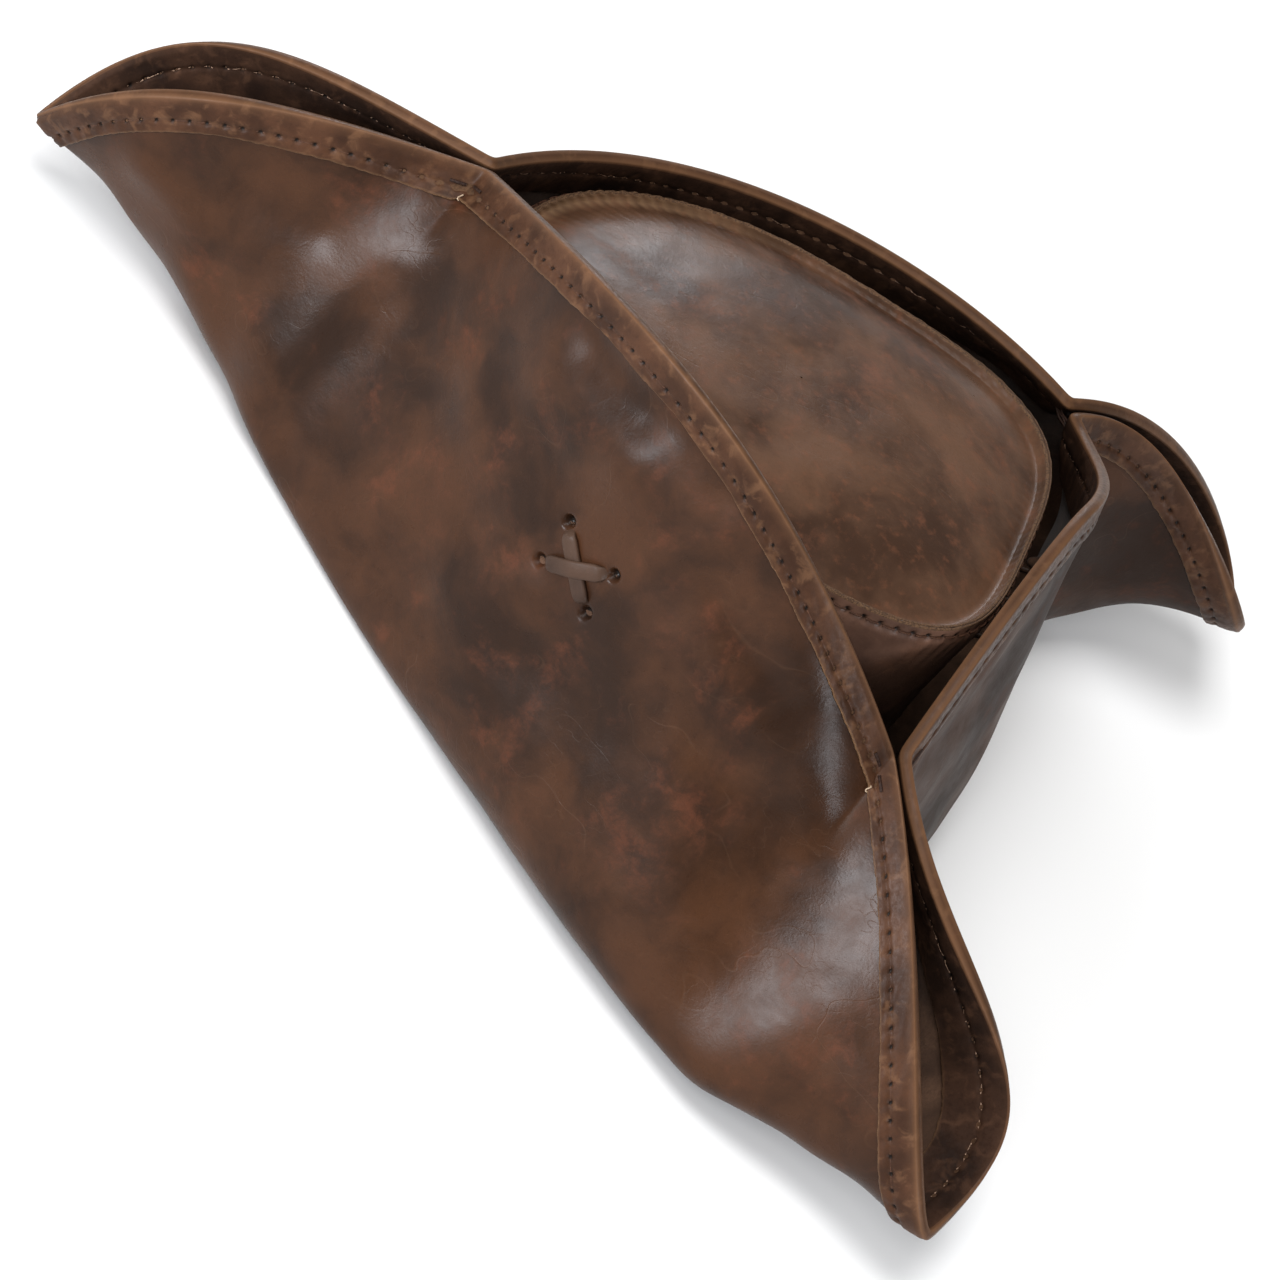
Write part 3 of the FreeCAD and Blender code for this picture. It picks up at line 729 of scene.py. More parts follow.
# painted light: a paler copy of the crown's leather, so the wall, deep in shade under the ridge, shows
# lighter
WALL_GRAIN_PAINTED_LIGHT = pull_up_leather("crown_wall_grain_painted_light", rgb(70, 50, 41), rgb(104, 76, 62),
                             rgb(122, 84, 63), rgb(136, 108, 82), 0.36, marked=True)
FLESH_SUEDE = suede("flesh_suede", rgb(56, 40, 31), rgb(90, 66, 51))
SWEAT_GRAIN = pull_up_leather("sweatband_grain", rgb(78, 54, 40), rgb(102, 72, 53),
                              rgb(122, 84, 60), rgb(136, 102, 78), 0.50)
BAND = band_leather("band_leather", rgb(46, 28, 18), rgb(66, 42, 28), rgb(108, 77, 54),
                    rgb(100, 75, 53), 0.42, 0.09)
# painted shade: a darker copy of the binding's leather for its inside, which lies in shade
BAND_INNER_SHADED = band_leather("band_leather_inner_shaded", rgb(32, 20, 14), rgb(52, 34, 24),
                          rgb(84, 58, 42), rgb(100, 74, 54), 0.72, 0.08)
CUT_EDGE = raw_edge("cut_edge", rgb(98, 72, 50), rgb(58, 40, 28))
THONG = pull_up_leather("thong_leather", rgb(46, 33, 26), rgb(64, 47, 37), rgb(74, 52, 40),
                        rgb(104, 82, 66), 0.42)
DARK_THREAD = waxed_thread("dark_thread", rgb(30, 18, 13), rgb(48, 30, 22))
SEAM_THREAD = waxed_thread("seam_thread", rgb(56, 35, 25), rgb(78, 52, 38))
INNER_THREAD = waxed_thread("inner_thread", rgb(152, 124, 104), rgb(92, 68, 52))
PALE_THREAD = waxed_thread("pale_thread", rgb(166, 146, 124), rgb(126, 104, 84))


# ---- the brim ----
def lace_frame(stretch, u, depth):
    """A lace's centre on the grain side, with the way in, up the flap and along it."""
    column = column_at(stretch, u)
    sample = int(round(depth / GRAIN.length[column] * (PROFILE_SAMPLES - 1)))
    inward = GRAIN.normals[column, sample]
    up = GRAIN.ups[column, sample]
    return GRAIN.points[column, sample], inward, up, unit(np.cross(up, inward))


def on_grain(place, stretch, u):
    """The point of the grain side that is nearest to a place by a lace, and the way out there."""
    column = column_at(stretch, u)
    near = int(1.6 * LACE_HALF_ALONG / EDGE_STEP)
    columns = np.arange(column - near, column + near + 1) % COLUMNS
    distance = np.linalg.norm(GRAIN.points[columns] - place, axis=-1)
    i, j = np.unravel_index(np.argmin(distance), distance.shape)
    normal = -GRAIN.normals[columns[i], j]
    lift = (GRAIN.points[columns[i], j] - place) @ normal
    return place + normal * lift, normal


def lace_holes(stretch, u, depth):
    """A lace's four holes on the grain side, by their side across and up."""
    centre, _, up, along = lace_frame(stretch, u, depth)
    return {(across, rise): on_grain(centre + along * across * LACE_HALF_ALONG
                                     + up * rise * LACE_HALF_UP, stretch, u)[0]
            for across in (-1, 1) for rise in (-1, 1)}


def brim_columns():
    """Every few columns, and all of them where a lace goes through."""
    kept = set(range(0, COLUMNS, BRIM_SKIP))
    near = int(LACE_NEAR / EDGE_STEP)
    for _, stretch, u, _ in LACES:
        middle = column_at(stretch, u)
        kept.update(range(middle - near, middle + near))
    return np.array(sorted(k % COLUMNS for k in kept))


def lace_dimples(points):
    """How far leather is pulled in where the laces go through, and how much painted black shade its
    holes get.
    """
    depth = np.zeros(points.shape[:-1])
    hole = np.zeros(points.shape[:-1])
    for _, stretch, u, lace_depth in LACES:
        places = lace_holes(stretch, u, lace_depth)
        centre = sum(places.values()) / len(places)
        for place in places.values():
            distance = np.linalg.norm(points - place - unit(place - centre) * HOLE_BEYOND, axis=-1)
            depth += HOLE_DEPTH * np.exp(-(distance / HOLE_RADIUS) ** 4)
            depth += LACE_PULL * bump(distance, LACE_PULL_REACH)
            # painted shade mask: how black the hole is painted
            hole += np.exp(-(distance / (HOLE_RADIUS * 0.85)) ** 6)
    return depth[..., None], hole


def make_brim():
    """Both sides of the brim and its flange, as one closed skin."""
    kept = brim_columns()
    share = np.linspace(0, 1, BRIM_ROWS)
    sample = share * (PROFILE_SAMPLES - 1)
    low = np.minimum(sample.astype(int), PROFILE_SAMPLES - 2)
    part = (sample - low)[None, :, None]

    def rows(table):
        return table[kept][:, low] * (1 - part) + table[kept][:, low + 1] * part

    normals = rows(GRAIN.normals)
    # hole is the painted shade of the lace holes
    depth, hole = lace_dimples(rows(GRAIN.points))
    grain = rows(GRAIN.points) + normals * depth
    flesh = rows(FLESH.points) + normals * depth
    flange_in, flange_out = grain[:, -1:].copy(), flesh[:, -1:].copy()
    flange_in[..., 2] = FLANGE_TOP
    flange_out[..., 2] = FLANGE_TOP
    profile = np.concatenate([grain, flange_in, flange_out, flesh[:, ::-1]], axis=1)
    unmarked = np.zeros((len(kept), profile.shape[1] - BRIM_ROWS))
    back = (kept > column_starts[BACK_FLAP[0]]) & (kept < column_starts[BACK_FLAP[1]])
    dull = np.repeat(back[:, None], profile.shape[1], axis=1)
    make_skin("brim_leather", profile, [BRIM_GRAIN, FLESH_SUEDE], [BRIM_ROWS],
              "brim", {"hole": np.concatenate([hole, unmarked], axis=1), "dull": dull})


# ---- seams ----
def around(line):
    """How far each point of a closed line is along it, and the line's whole length."""
    steps = np.linalg.norm(np.roll(line, -1, axis=0) - line, axis=1)
    return np.concatenate([[0], np.cumsum(steps)[:-1]]), float(steps.sum())


def from_hole(distance, whole):
    """How far each place is along a seam from its nearest hole, and the holes' pitch."""
    pitch = whole / round(whole / STITCH_PITCH)
    return (distance + pitch / 2) % pitch - pitch / 2, pitch


def closed(table):
    return np.concatenate([table, table[:1]])


def stitches(line, out, far, low, high, radius):
    """Stitches from hole to hole of a line: out is its way out and far how far along it is."""
    def place_on(table, reached):
        return np.stack([np.interp(reached, far, table[:, k]) for k in range(3)], -1)

    count = round(far[-1] / STITCH_PITCH)
    holes = np.arange(count + 1) * far[-1] / count
    share = np.linspace(0.13, 0.87, STITCH_STEPS)
    rise = low + (high - low) * np.sin(np.pi * share) ** 0.45
    paths = []
    for start, end in zip(holes, holes[1:]):
        reached = start + (end - start) * share
        paths.append(place_on(line, reached) + unit(place_on(out, reached)) * rise[:, None])
    return tubes(paths, radius)


def wave_round(distance, whole, size, seed):
    """Noise along a closed line that meets itself where the line closes."""
    turn = 2 * math.pi * distance / whole
    radius = whole / (2 * math.pi)
    ring = np.stack([radius * np.cos(turn), radius * np.sin(turn), np.full_like(turn, seed)], -1)
    return noise_at(ring, size, seed)


# ---- the binding ----
SEAM_DISTANCE, SEAM_WHOLE = around(GRAIN.at(STITCH_INSET))
ALONG_HOLE, SEAM_PITCH = from_hole(SEAM_DISTANCE, SEAM_WHOLE)
BAND_OUT = GAP + BAND_LEATHER  # the binding's surface, off the brim's
FOLD_TURNS = np.radians([8, 22, 38, 52, 90, 128, 142, 158, 172])
FOLD_START = 1.2  # where the binding's flat sides start below the edge
GROOVE, GROOVE_WIDTH = 0.34, 0.9
PIT, PIT_RADIUS = 0.75, 0.88
DEEPEST = 0.95  # the surface is never drawn in further than this
SWELL, SWELL_BELOW = 0.30, 2.4  # the puckers below the seam
RAGGED = ((0.45, 14, 0), (0.30, 2.2, 5))  # the cut edge: height, size and seed of its waves


def seam_wave(size, seed):
    return wave_round(SEAM_DISTANCE, SEAM_WHOLE, size, seed)


def band_row(side, sign, depth, seed, puckers):
    """One row along a flat side of the binding, drawn in at its seam and its holes."""
    off = depth - STITCH_INSET
    groove = -GROOVE * bump(off, GROOVE_WIDTH)
    pit = bump(np.hypot(ALONG_HOLE, off), PIT_RADIUS)
    by_hole = np.cos(2 * math.pi * ALONG_HOLE / SEAM_PITCH)
    swell = SWELL * puckers * by_hole * bump(off - SWELL_BELOW, 2.2)
    lift = 0.16 * seam_wave(6, seed + depth * 0.2)
    away = np.maximum(BAND_OUT + groove - PIT * pit - swell * 0.6 + lift, BAND_OUT - DEEPEST)
    # pale by the fold: partly stretched leather, partly painted highlight
    fold = 0.15 * bump(depth - FOLD_START, 1.2)
    # the last value is painted black shade in the stitch holes
    return side.at(depth, sign * away), fold, 0.0, np.clip(pit * 3.0 - 1.1, 0, 1)


def band_side(side, sign, width, seed):
    """Rows (points, fold, cut, hole) of one side of the binding, from its fold to its cut edge."""
    puckers = 0.5 + 0.5 * seam_wave(40, 3.1)
    depths = np.concatenate([np.linspace(FOLD_START, STITCH_INSET - 1.6, 7),
                             np.linspace(STITCH_INSET - 1.1, STITCH_INSET + 1.1, 7),
                             np.linspace(STITCH_INSET + 1.6, width - 0.9, 5)])
    rows = [band_row(side, sign, depth, seed, puckers) for depth in depths]
    ragged = width + sum(rise * seam_wave(size, seed + more) for rise, size, more in RAGGED)
    thin = BAND_OUT + 0.10 * seam_wave(4, seed + 9)
    for depth, out, cut in ((ragged - 0.35, thin, 0.35), (ragged, thin - 0.25, 1.0),
                            (ragged, GAP, 1.0)):
        rows.append((side.at(depth, sign * out), 0.0, cut, 0.0))
    return rows


def band_fold():
    """Rows over the brim's edge, from the grain side to the flesh side."""
    middle = (GRAIN.at(1.0) + FLESH.at(1.0)) / 2
    across = unit(FLESH.at(1.0) - GRAIN.at(1.0))
    up = unit(GRAIN.at(0.0) - GRAIN.at(2.0))
    half = LEATHER / 2 + BAND_OUT
    rows = []
    for turn in FOLD_TURNS:
        flat = np.sign(math.cos(turn)) * abs(math.cos(turn)) ** FOLD_SQUARE
        reach = across * -flat * half + up * math.sin(turn) ** FOLD_SQUARE * half
        # fold value: paler leather and a painted highlight, strongest at the fold's two corners
        rows.append((middle + reach, 0.30 + 0.70 * abs(math.sin(2 * turn)) ** 3, 0.0, 0.0))
    return rows


def make_binding():
    """An upside-down U of thin leather all round, drawn in along its seam and torn at its cuts."""
    outside = band_side(GRAIN, -1, BAND_OUTSIDE, 1.0)
    rows = outside[::-1] + band_fold() + band_side(FLESH, 1, BAND_INSIDE, 21.0)
    rows += [(FLESH.at(0.4, GAP), 0.0, 0.0, 0.0), (GRAIN.at(0.4, -GAP), 0.0, 0.0, 0.0)]
    # hole carries the painted shade of the stitch holes
    points, *marks = zip(*rows)
    # fold carries the folded leather's paleness and a painted highlight
    values = {name: np.stack([np.broadcast_to(value, SEAM_DISTANCE.shape) for value in mark], 1)
              for name, mark in zip(("fold", "cut", "hole"), marks)}
    # the binding's inside rows take the darker copy with painted shade
    make_skin("edge_binding", np.stack(points, axis=1), [BAND, BAND_INNER_SHADED],
              [len(outside) + len(FOLD_TURNS) - 1], "brim_binding", values)


def binding_stitches(name, side, sign, node, material, jitter):
    line = side.at(STITCH_INSET + jitter * seam_wave(3.5, 2.0))
    out = side.at(STITCH_INSET, sign * 1.0) - side.at(STITCH_INSET)
    points, faces = stitches(closed(line), closed(out), np.append(SEAM_DISTANCE, SEAM_WHOLE),
                             BAND_OUT - STITCH_SUNK, BAND_OUT - STITCH_SHOWN, THREAD * 0.32)
    make_object(name, points, faces, [material], node)


# ---- the crown ----
RIDGE_X = np.array([math.cos(RIDGE_ROLL), 0, math.sin(RIDGE_ROLL)])
RIDGE_Y = np.array([0, math.cos(RIDGE_PITCH), math.sin(RIDGE_PITCH)])
RIDGE_UP = unit(np.cross(RIDGE_X, RIDGE_Y))
TALL = RIDGE_CENTRE[2]
TURN_COLUMNS = 900
TURNS = np.linspace(-90, 270, TURN_COLUMNS, endpoint=False)


def ridge_point(angles, inset=0.0, lift=0.0, share=1.0):
    turn = np.radians(angles)
    behind = np.sin(turn) > 0
    power = np.where(behind, RIDGE_POWER_BACK, RIDGE_POWER_FRONT)
    length = np.where(behind, RIDGE_BACK, RIDGE_FRONT) - inset
    width = RIDGE_HALF_WIDTH - inset
    reach = np.abs(np.cos(turn) / width) ** power + np.abs(np.sin(turn) / length) ** power
    radius = share * reach ** (-1 / power)
    lift = np.broadcast_to(np.asarray(lift, float), radius.shape)
    return (RIDGE_CENTRE + RIDGE_X * (radius * np.cos(turn))[:, None]
            + RIDGE_Y * (radius * np.sin(turn))[:, None] + RIDGE_UP * lift[:, None])


def wall_point(angles, height, inset=0.0):
    """A point of the crown wall: height from 0 at its foot to 1 at its raw top edge."""
    height = np.reshape(np.broadcast_to(np.asarray(height, float), np.shape(angles)), (-1, 1))
    foot = head_oval(angles, inset, LEATHER + GAP)
    return foot * (1 - height) + ridge_point(angles, inset) * height


RIDGE_DISTANCE, RIDGE_WHOLE = around(ridge_point(TURNS))


def gathers(slant=0.0):
    """Puckers along the ridge seam, -1 to 1, deepest round the tight front and by each stitch."""
    count = round(RIDGE_WHOLE / PUCKER_PITCH)
    front = 0.35 + 0.65 * smooth_step(0.2, 0.95, -np.sin(np.radians(TURNS)))
    uneven = 0.7 + 0.5 * ridge_wave(11, 4.0)
    turn = 2 * math.pi * RIDGE_DISTANCE * count / RIDGE_WHOLE
    return np.sin(turn + slant) * front * uneven


def ridge_wave(size, seed):
    return wave_round(RIDGE_DISTANCE, RIDGE_WHOLE, size, seed)


WALL_HEIGHTS = np.concatenate([np.linspace(0, 0.90, 34), np.linspace(0.91, 0.995, 16)])
WALL_INSIDE = (0.995, 0.94, 0.7, 0.4, 0.15, 0.0)  # its rows inside, as shares of its height
WALL_PIT, WALL_PIT_RADIUS = 0.8, 0.95
WALL_NIP, WALL_RUCK = 0.7, 0.55  # how far it is drawn in at its seam, and puckered below
RUCK_BELOW = 7.0
SKIVE_HEIGHT = 2.2


def level_out(points):
    return unit(points * [1, 1, 0])


def wall_row(height, pucker, along):
    """One row of its outside, with how much painted black shade its stitch holes get: drawn in at the
    tip's seam.
    """
    base = wall_point(TURNS, height)
    below = (1 - height) * TALL
    soft = math.sin(math.pi * height) ** 0.7
    waves = soft * (0.7 * noise_at(base, 34, 5.0) + 0.35 * noise_at(base, 12, 9.0))
    nip = -WALL_NIP * bump(below - TIP_SEAM_DROP, 1.6)
    ruck = WALL_RUCK * pucker * bump(below - RUCK_BELOW, RUCK_BELOW)
    thinned = SKIVE * bump(below, SKIVE_HEIGHT)
    pit = bump(np.hypot(along, below - TIP_SEAM_DROP), WALL_PIT_RADIUS)
    out = waves + nip + ruck - thinned - WALL_PIT * pit
    # the second value is painted shade, black in the stitch holes
    return base + level_out(base) * out[:, None], np.clip(pit * 3.0 - 0.9, 0, 1)


def make_crown_wall():
    """The outside from its foot up, the raw top edge, and the inside down again."""
    pucker = gathers()
    along, _ = from_hole(RIDGE_DISTANCE, RIDGE_WHOLE)
    # hole carries the painted shade of the tip seam's stitch holes
    rows, hole = map(list, zip(*(wall_row(height, pucker, along) for height in WALL_HEIGHTS)))
    top = wall_point(TURNS, 1.0)
    rise = RIDGE_UP * (0.2 + 0.25 * ridge_wave(5, 6.0) + 0.25 * pucker)[:, None]
    rows += [top - level_out(top) * inset + rise for inset in (SKIVE + 0.1, LEATHER - 0.05)]
    rows += [wall_point(TURNS, height, LEATHER) for height in WALL_INSIDE]
    hole += [np.zeros(TURN_COLUMNS)] * (len(rows) - len(hole))
    edge = len(WALL_HEIGHTS) - 1
    # the wall's outside takes the paler copy of the leather with painted light
    make_skin("crown_side", np.stack(rows, axis=1), [WALL_GRAIN_PAINTED_LIGHT, CUT_EDGE, FLESH_SUEDE],
              [edge, edge + 2], "crown_wall", {"hole": np.stack(hole, 1)})


TIP_INNER, TIP_OUTER = 2 * LEATHER + GAP, LEATHER + GAP  # its turned-up edge, inside the wall
TIP_SHARES = np.concatenate([[0.004], np.linspace(0.04, 0.86, 38), np.linspace(0.88, 0.965, 9)])


def dome(share, drop, pucker):
    """One ring of the panel, share of the way out from its middle and drop below its top."""
    lift = DOME_RISE * (1 - share ** 3) * DOME_SWELL - RIM_SHOWN - drop
    base = ridge_point(TURNS, TIP_INNER, lift, share)
    soft = math.sin(math.pi * min(share, 0.96)) ** 0.5
    waves = soft * (1.1 * noise_at(base, 52, 2.0) + 0.35 * noise_at(base, 16, 8.0))
    tucks = 0.30 * pucker * bump(1 - share, 0.07)
    return base + RIDGE_UP * (waves + tucks)[:, None]


def make_crown_tip():
    """The domed panel, from its middle out, up the rim inside the wall, and back underneath."""
    pucker = gathers()
    rows = [dome(share, 0.0, pucker) for share in TIP_SHARES]
    away = unit((ridge_point(TURNS) - RIDGE_CENTRE))
    front = smooth_step(0.1, 0.95, -np.sin(np.radians(TURNS)))
    rub = [np.zeros(TURN_COLUMNS)] * len(TIP_SHARES)
    for below, curl in RIM_ROWS:
        base = wall_point(TURNS, 1 - below / TALL, TIP_INNER)
        twist = gathers(below * 1.3)
        rows.append(base - away * (curl + 0.35 * twist)[:, None])
        rub.append(0.04 + 0.42 * front * (1 + 0.5 * twist))
    lip = (0.2 + 0.22 * ridge_wave(4, 16.0) - 0.25 * pucker)[:, None]
    rows.append(wall_point(TURNS, 1.0, TIP_INNER) + away * (SKIVE + 0.1) + RIDGE_UP * lip)
    rows.append(wall_point(TURNS, 1.0, TIP_OUTER) + away * 0.05 + RIDGE_UP * lip)
    rows.append(wall_point(TURNS, 1 - SEAM_FLOOR / TALL, TIP_OUTER))
    rows += [dome(share, LEATHER, pucker) for share in TIP_SHARES[::-3]]
    rub += [np.zeros(TURN_COLUMNS)] * (len(rows) - len(rub))
    edge = len(TIP_SHARES) + len(RIM_ROWS) - 1
    make_skin("crown_top", np.stack(rows, axis=1), [CROWN_GRAIN, CUT_EDGE, FLESH_SUEDE],
              [edge, edge + 2], "crown_tip", {"rub": np.stack(rub, 1)},
              close_rows=False)


def ring_stitches(name, node, line, out, material):
    """A line of stitches all round the crown."""
    distance, whole = around(line)
    points, faces = stitches(closed(line), closed(out), np.append(distance, whole),
                             -0.45, 0.2, THREAD * 0.40)
    make_object(name, points, faces, [material], node)


def flat_out(angles):
    turn = np.radians(angles)
    return np.stack([np.cos(turn), np.sin(turn), np.zeros_like(turn)], -1)


def back_seam_row(side):
    """One of the two rows of stitches down the wall's closing seam."""
    heights = np.linspace(0.08, 0.92, BACK_SEAM_STEPS)
    line = wall_point(np.full(BACK_SEAM_STEPS, 90 + side), heights)
    far = np.concatenate([[0], np.cumsum(np.linalg.norm(np.diff(line, axis=0), axis=1))])
    backwards = np.broadcast_to([0.0, 1.0, 0.0], line.shape)
    return stitches(line, backwards, far, -0.45, 0.3, THREAD * 0.45)


def crown_seams():
    out = flat_out(TURNS)
    ring_stitches("tip_seam_stitches", "tip_seam_thread",
                  wall_point(TURNS, 1 - TIP_SEAM_DROP / TALL) - out * 0.6, out, SEAM_THREAD)
    ring_stitches("brim_seam_stitches", "brim_seam_thread",
                  wall_point(TURNS, BRIM_SEAM_HEIGHT / TALL), out, DARK_THREAD)
    ring_stitches("sweatband_stitches", "sweatband_thread",
                  head_oval(TURNS, SWEAT_INSET + SWEAT_LEATHER + 0.1, SWEAT_SEAM_HEIGHT),
                  -out, PALE_THREAD)
    points, faces = joined([back_seam_row(-BACK_SEAM_SPREAD), back_seam_row(BACK_SEAM_SPREAD)])
    make_object("back_seam_stitches", points, faces, [DARK_THREAD],
                "crown_back_seam_thread")


def make_sweatband():
    """A lining strip inside the crown's foot, its top edge free and slightly wavy."""
    heights = np.linspace(SWEAT_FOOT, SWEAT_TOP - 0.5, 22)
    ease = ridge_wave(30, 12.0)

    def ring(height, inset):
        lean = wall_point(TURNS, height / TALL, SWEAT_INSET + inset)
        foot = head_oval(TURNS, SWEAT_INSET + inset, height)
        share = (height - SWEAT_FOOT) / (SWEAT_TOP - SWEAT_FOOT)
        place = foot * (1 - share) + lean * share
        place[:, 2] = height
        inward = -flat_out(TURNS)
        return place + inward * (0.5 + 0.5 * ease * share)[:, None] * share

    rows = [ring(height, SWEAT_LEATHER) for height in heights]
    for drop, share in ((0.1, 0.8), (0.0, 0.5), (0.1, 0.2)):
        rows.append(ring(SWEAT_TOP - drop, SWEAT_LEATHER * share))
    rows += [ring(height, 0.0) for height in heights[::-3]]
    make_skin("sweatband_lining", np.stack(rows, axis=1), [SWEAT_GRAIN], [],
              "sweatband")


# ---- laces, knots and tacks ----
THONG_STEPS, THONG_AROUND = 41, 20
THONG_DIVE = 3.4  # how deep a thong's ends turn into their holes
STRAND_RADIUS = 1.15
WALL_SEARCH = np.arange(0, 60, 0.5)  # depths behind a lace at which the wall may be
STRAND_INSIDE = 4.0  # from the wall's inner face to where the strands turn
KNOT_BEYOND = 3.0  # from there to the knot's middle
KNOT_RADIUS = 1.35
KNOT_RISE = 1.3  # how far the knot's turns stand apart, against its width
TAIL_LENGTH, TAIL_RADIUS = 9, 1.1
TAIL_SAG = np.array([0, 0, -0.25])
TACK_RADIUS, BAR_RADIUS, LOOP_RADIUS = 0.42, 0.55, 0.24
TACK_TURNS = ((0.0, 0.0), (0.7, 0.5), (-0.6, -0.4))  # how far each turn is up and back
BAR_ABOVE = 2.2  # a tack's bar lies this far above the binding's seam
BAR_SAMPLE, LOOP_SAMPLE = 4, 6  # profile samples whose way out the bar and the loop take


def thong_mesh(start, end, stretch, u, over):
    """A flat thong that lies on the flap from hole to hole, narrows and turns in at both ends."""
    share = np.linspace(0, 1, THONG_STEPS)
    straight = start + (end - start) * share[:, None]
    laid = [on_grain(place, stretch, u) for place in straight]
    out = unit(sum(normal for _, normal in laid))
    side = unit(np.cross(unit(end - start), out))
    rise = LACE_THICK / 2 + 0.1 + over * bump(share - 0.5, 0.24)
    dive = THONG_DIVE * (bump(share, 0.10) ** 2 + bump(1 - share, 0.10) ** 2)
    middle = np.array([place for place, _ in laid]) + out * (rise - dive)[:, None]
    from_end = np.minimum(share, 1 - share)
    closing = 0.06 + 0.94 * smooth_step(0.0, 0.07, from_end)
    half_width = LACE_WIDTH / 2 * closing * (0.60 + 0.40 * smooth_step(0.0, 0.20, from_end))
    turn = np.linspace(0, 2 * math.pi, THONG_AROUND, endpoint=False)
    round_x = np.sign(np.cos(turn)) * np.abs(np.cos(turn)) ** 0.35
    round_y = np.sign(np.sin(turn)) * np.abs(np.sin(turn)) ** 0.6
    cup = 0.30 * (1 - round_x ** 2)
    thick = LACE_THICK / 2 * closing
    ring = (side * (half_width[:, None, None] * round_x[None, :, None])
            + out * (thick[:, None, None] * round_y[None, :, None]
                     + closing[:, None, None] * cup[None, :, None]))
    points = middle[:, None] + ring
    faces, _ = grid_faces(THONG_STEPS, THONG_AROUND, close_columns=False)
    return points.reshape(-1, 3), faces


def knot_path(centre, axis, size):
    """An overhand knot drawn tight: a small trefoil."""
    turn = np.linspace(0, 2 * math.pi, 90)
    x = np.sin(turn) + 2 * np.sin(2 * turn)
    y = np.cos(turn) - 2 * np.cos(2 * turn)
    z = -np.sin(3 * turn)
    side = unit(np.cross(axis, [0.0, 0.0, 1.0]))
    other = np.cross(axis, side)
    return centre + (side * x[:, None] + other * y[:, None] + axis * z[:, None] * KNOT_RISE) * size


def wall_depth(centre, inward):
    """How far the crown wall's inner face is behind a lace's centre."""
    for depth in WALL_SEARCH:
        place = centre + inward * depth
        angle = math.degrees(math.atan2(place[1], place[0]))
        inner = wall_point(np.array([angle]), place[2] / TALL, LEATHER)[0]
        if math.hypot(*place[:2]) < math.hypot(*inner[:2]):
            return float(depth)
    raise ValueError("a lace that doesn't reach the crown wall")


def make_laces():
    """Each lace's crossed thongs and the strands that run from their holes to a knot inside."""
    for name, stretch, u, depth in LACES:
        centre, inward, _, _ = lace_frame(stretch, u, depth)
        holes = lace_holes(stretch, u, depth)
        arms = [thong_mesh(holes[(-1, -1)], holes[(1, 1)], stretch, u, 0.0),
                thong_mesh(holes[(-1, 1)], holes[(1, -1)], stretch, u, LACE_THICK + 0.1)]
        deep = wall_depth(centre, inward) + STRAND_INSIDE
        knot = centre + inward * (deep + KNOT_BEYOND)
        strands = []
        for hole in holes.values():
            corner = hole + inward * deep
            path = np.array([hole + inward * STRAND_START, hole + inward * deep * 0.6,
                             corner * 0.8 + knot * 0.2, corner * 0.35 + knot * 0.65, knot])
            strands.append(tubes([path], STRAND_RADIUS, THONG_SIDES))
        points, faces = joined(arms + strands)
        make_object("thongs_" + name, points, faces, [THONG], "lace_" + name)
        path = knot_path(knot, inward, STRAND_RADIUS)
        tail = knot + (inward + TAIL_SAG) * np.linspace(0, TAIL_LENGTH, 8)[:, None]
        points, faces = joined([tubes([path], KNOT_RADIUS, THONG_SIDES),
                                tubes([tail], TAIL_RADIUS, THONG_SIDES)])
        make_object("knot_" + name, points, faces, [THONG],
                    "lace_knot_" + name)


def tack_bars(stretch):
    """What shows outside of a corner's tack: a dark bar on each side, sunk in the binding."""
    corner = int(column_starts[stretch])
    share = np.linspace(0, 1, TACK_STEPS)
    parts = []
    for sign in (-1, 1):
        along = TACK_BAR_START + TACK_BAR_LENGTH * share
        columns = (corner + sign * along / EDGE_STEP).astype(int) % COLUMNS
        bar = GRAIN.at(STITCH_INSET - BAR_ABOVE)[columns]
        out = -GRAIN.normals[columns, BAR_SAMPLE]
        lift = GAP + BAND_LEATHER + 0.1 * np.sin(math.pi * share) ** 0.5
        parts.append(tubes([bar + out * lift[:, None]], BAR_RADIUS, THREAD_SIDES))
    return parts


def tack_loop(stretch):
    """A small loop of thread that ends the tack, at the binding's cut edge."""
    column = int(column_starts[stretch] + TACK_BAR_START / EDGE_STEP) % COLUMNS
    way, up = -GRAIN.normals[column, LOOP_SAMPLE], GRAIN.ups[column, LOOP_SAMPLE]
    along = unit(np.cross(up, way))
    turn = np.linspace(-0.15 * math.pi, 1.15 * math.pi, TACK_STEPS)
    loop = (GRAIN.at(BAND_OUTSIDE - 1.0)[column] + up * (np.cos(turn) * 1.1)[:, None]
            + way * (np.sin(turn) * 0.5 + 0.9)[:, None] + along * (0.3 * np.sin(2 * turn))[:, None])
    return tubes([loop], LOOP_RADIUS, THREAD_SIDES)


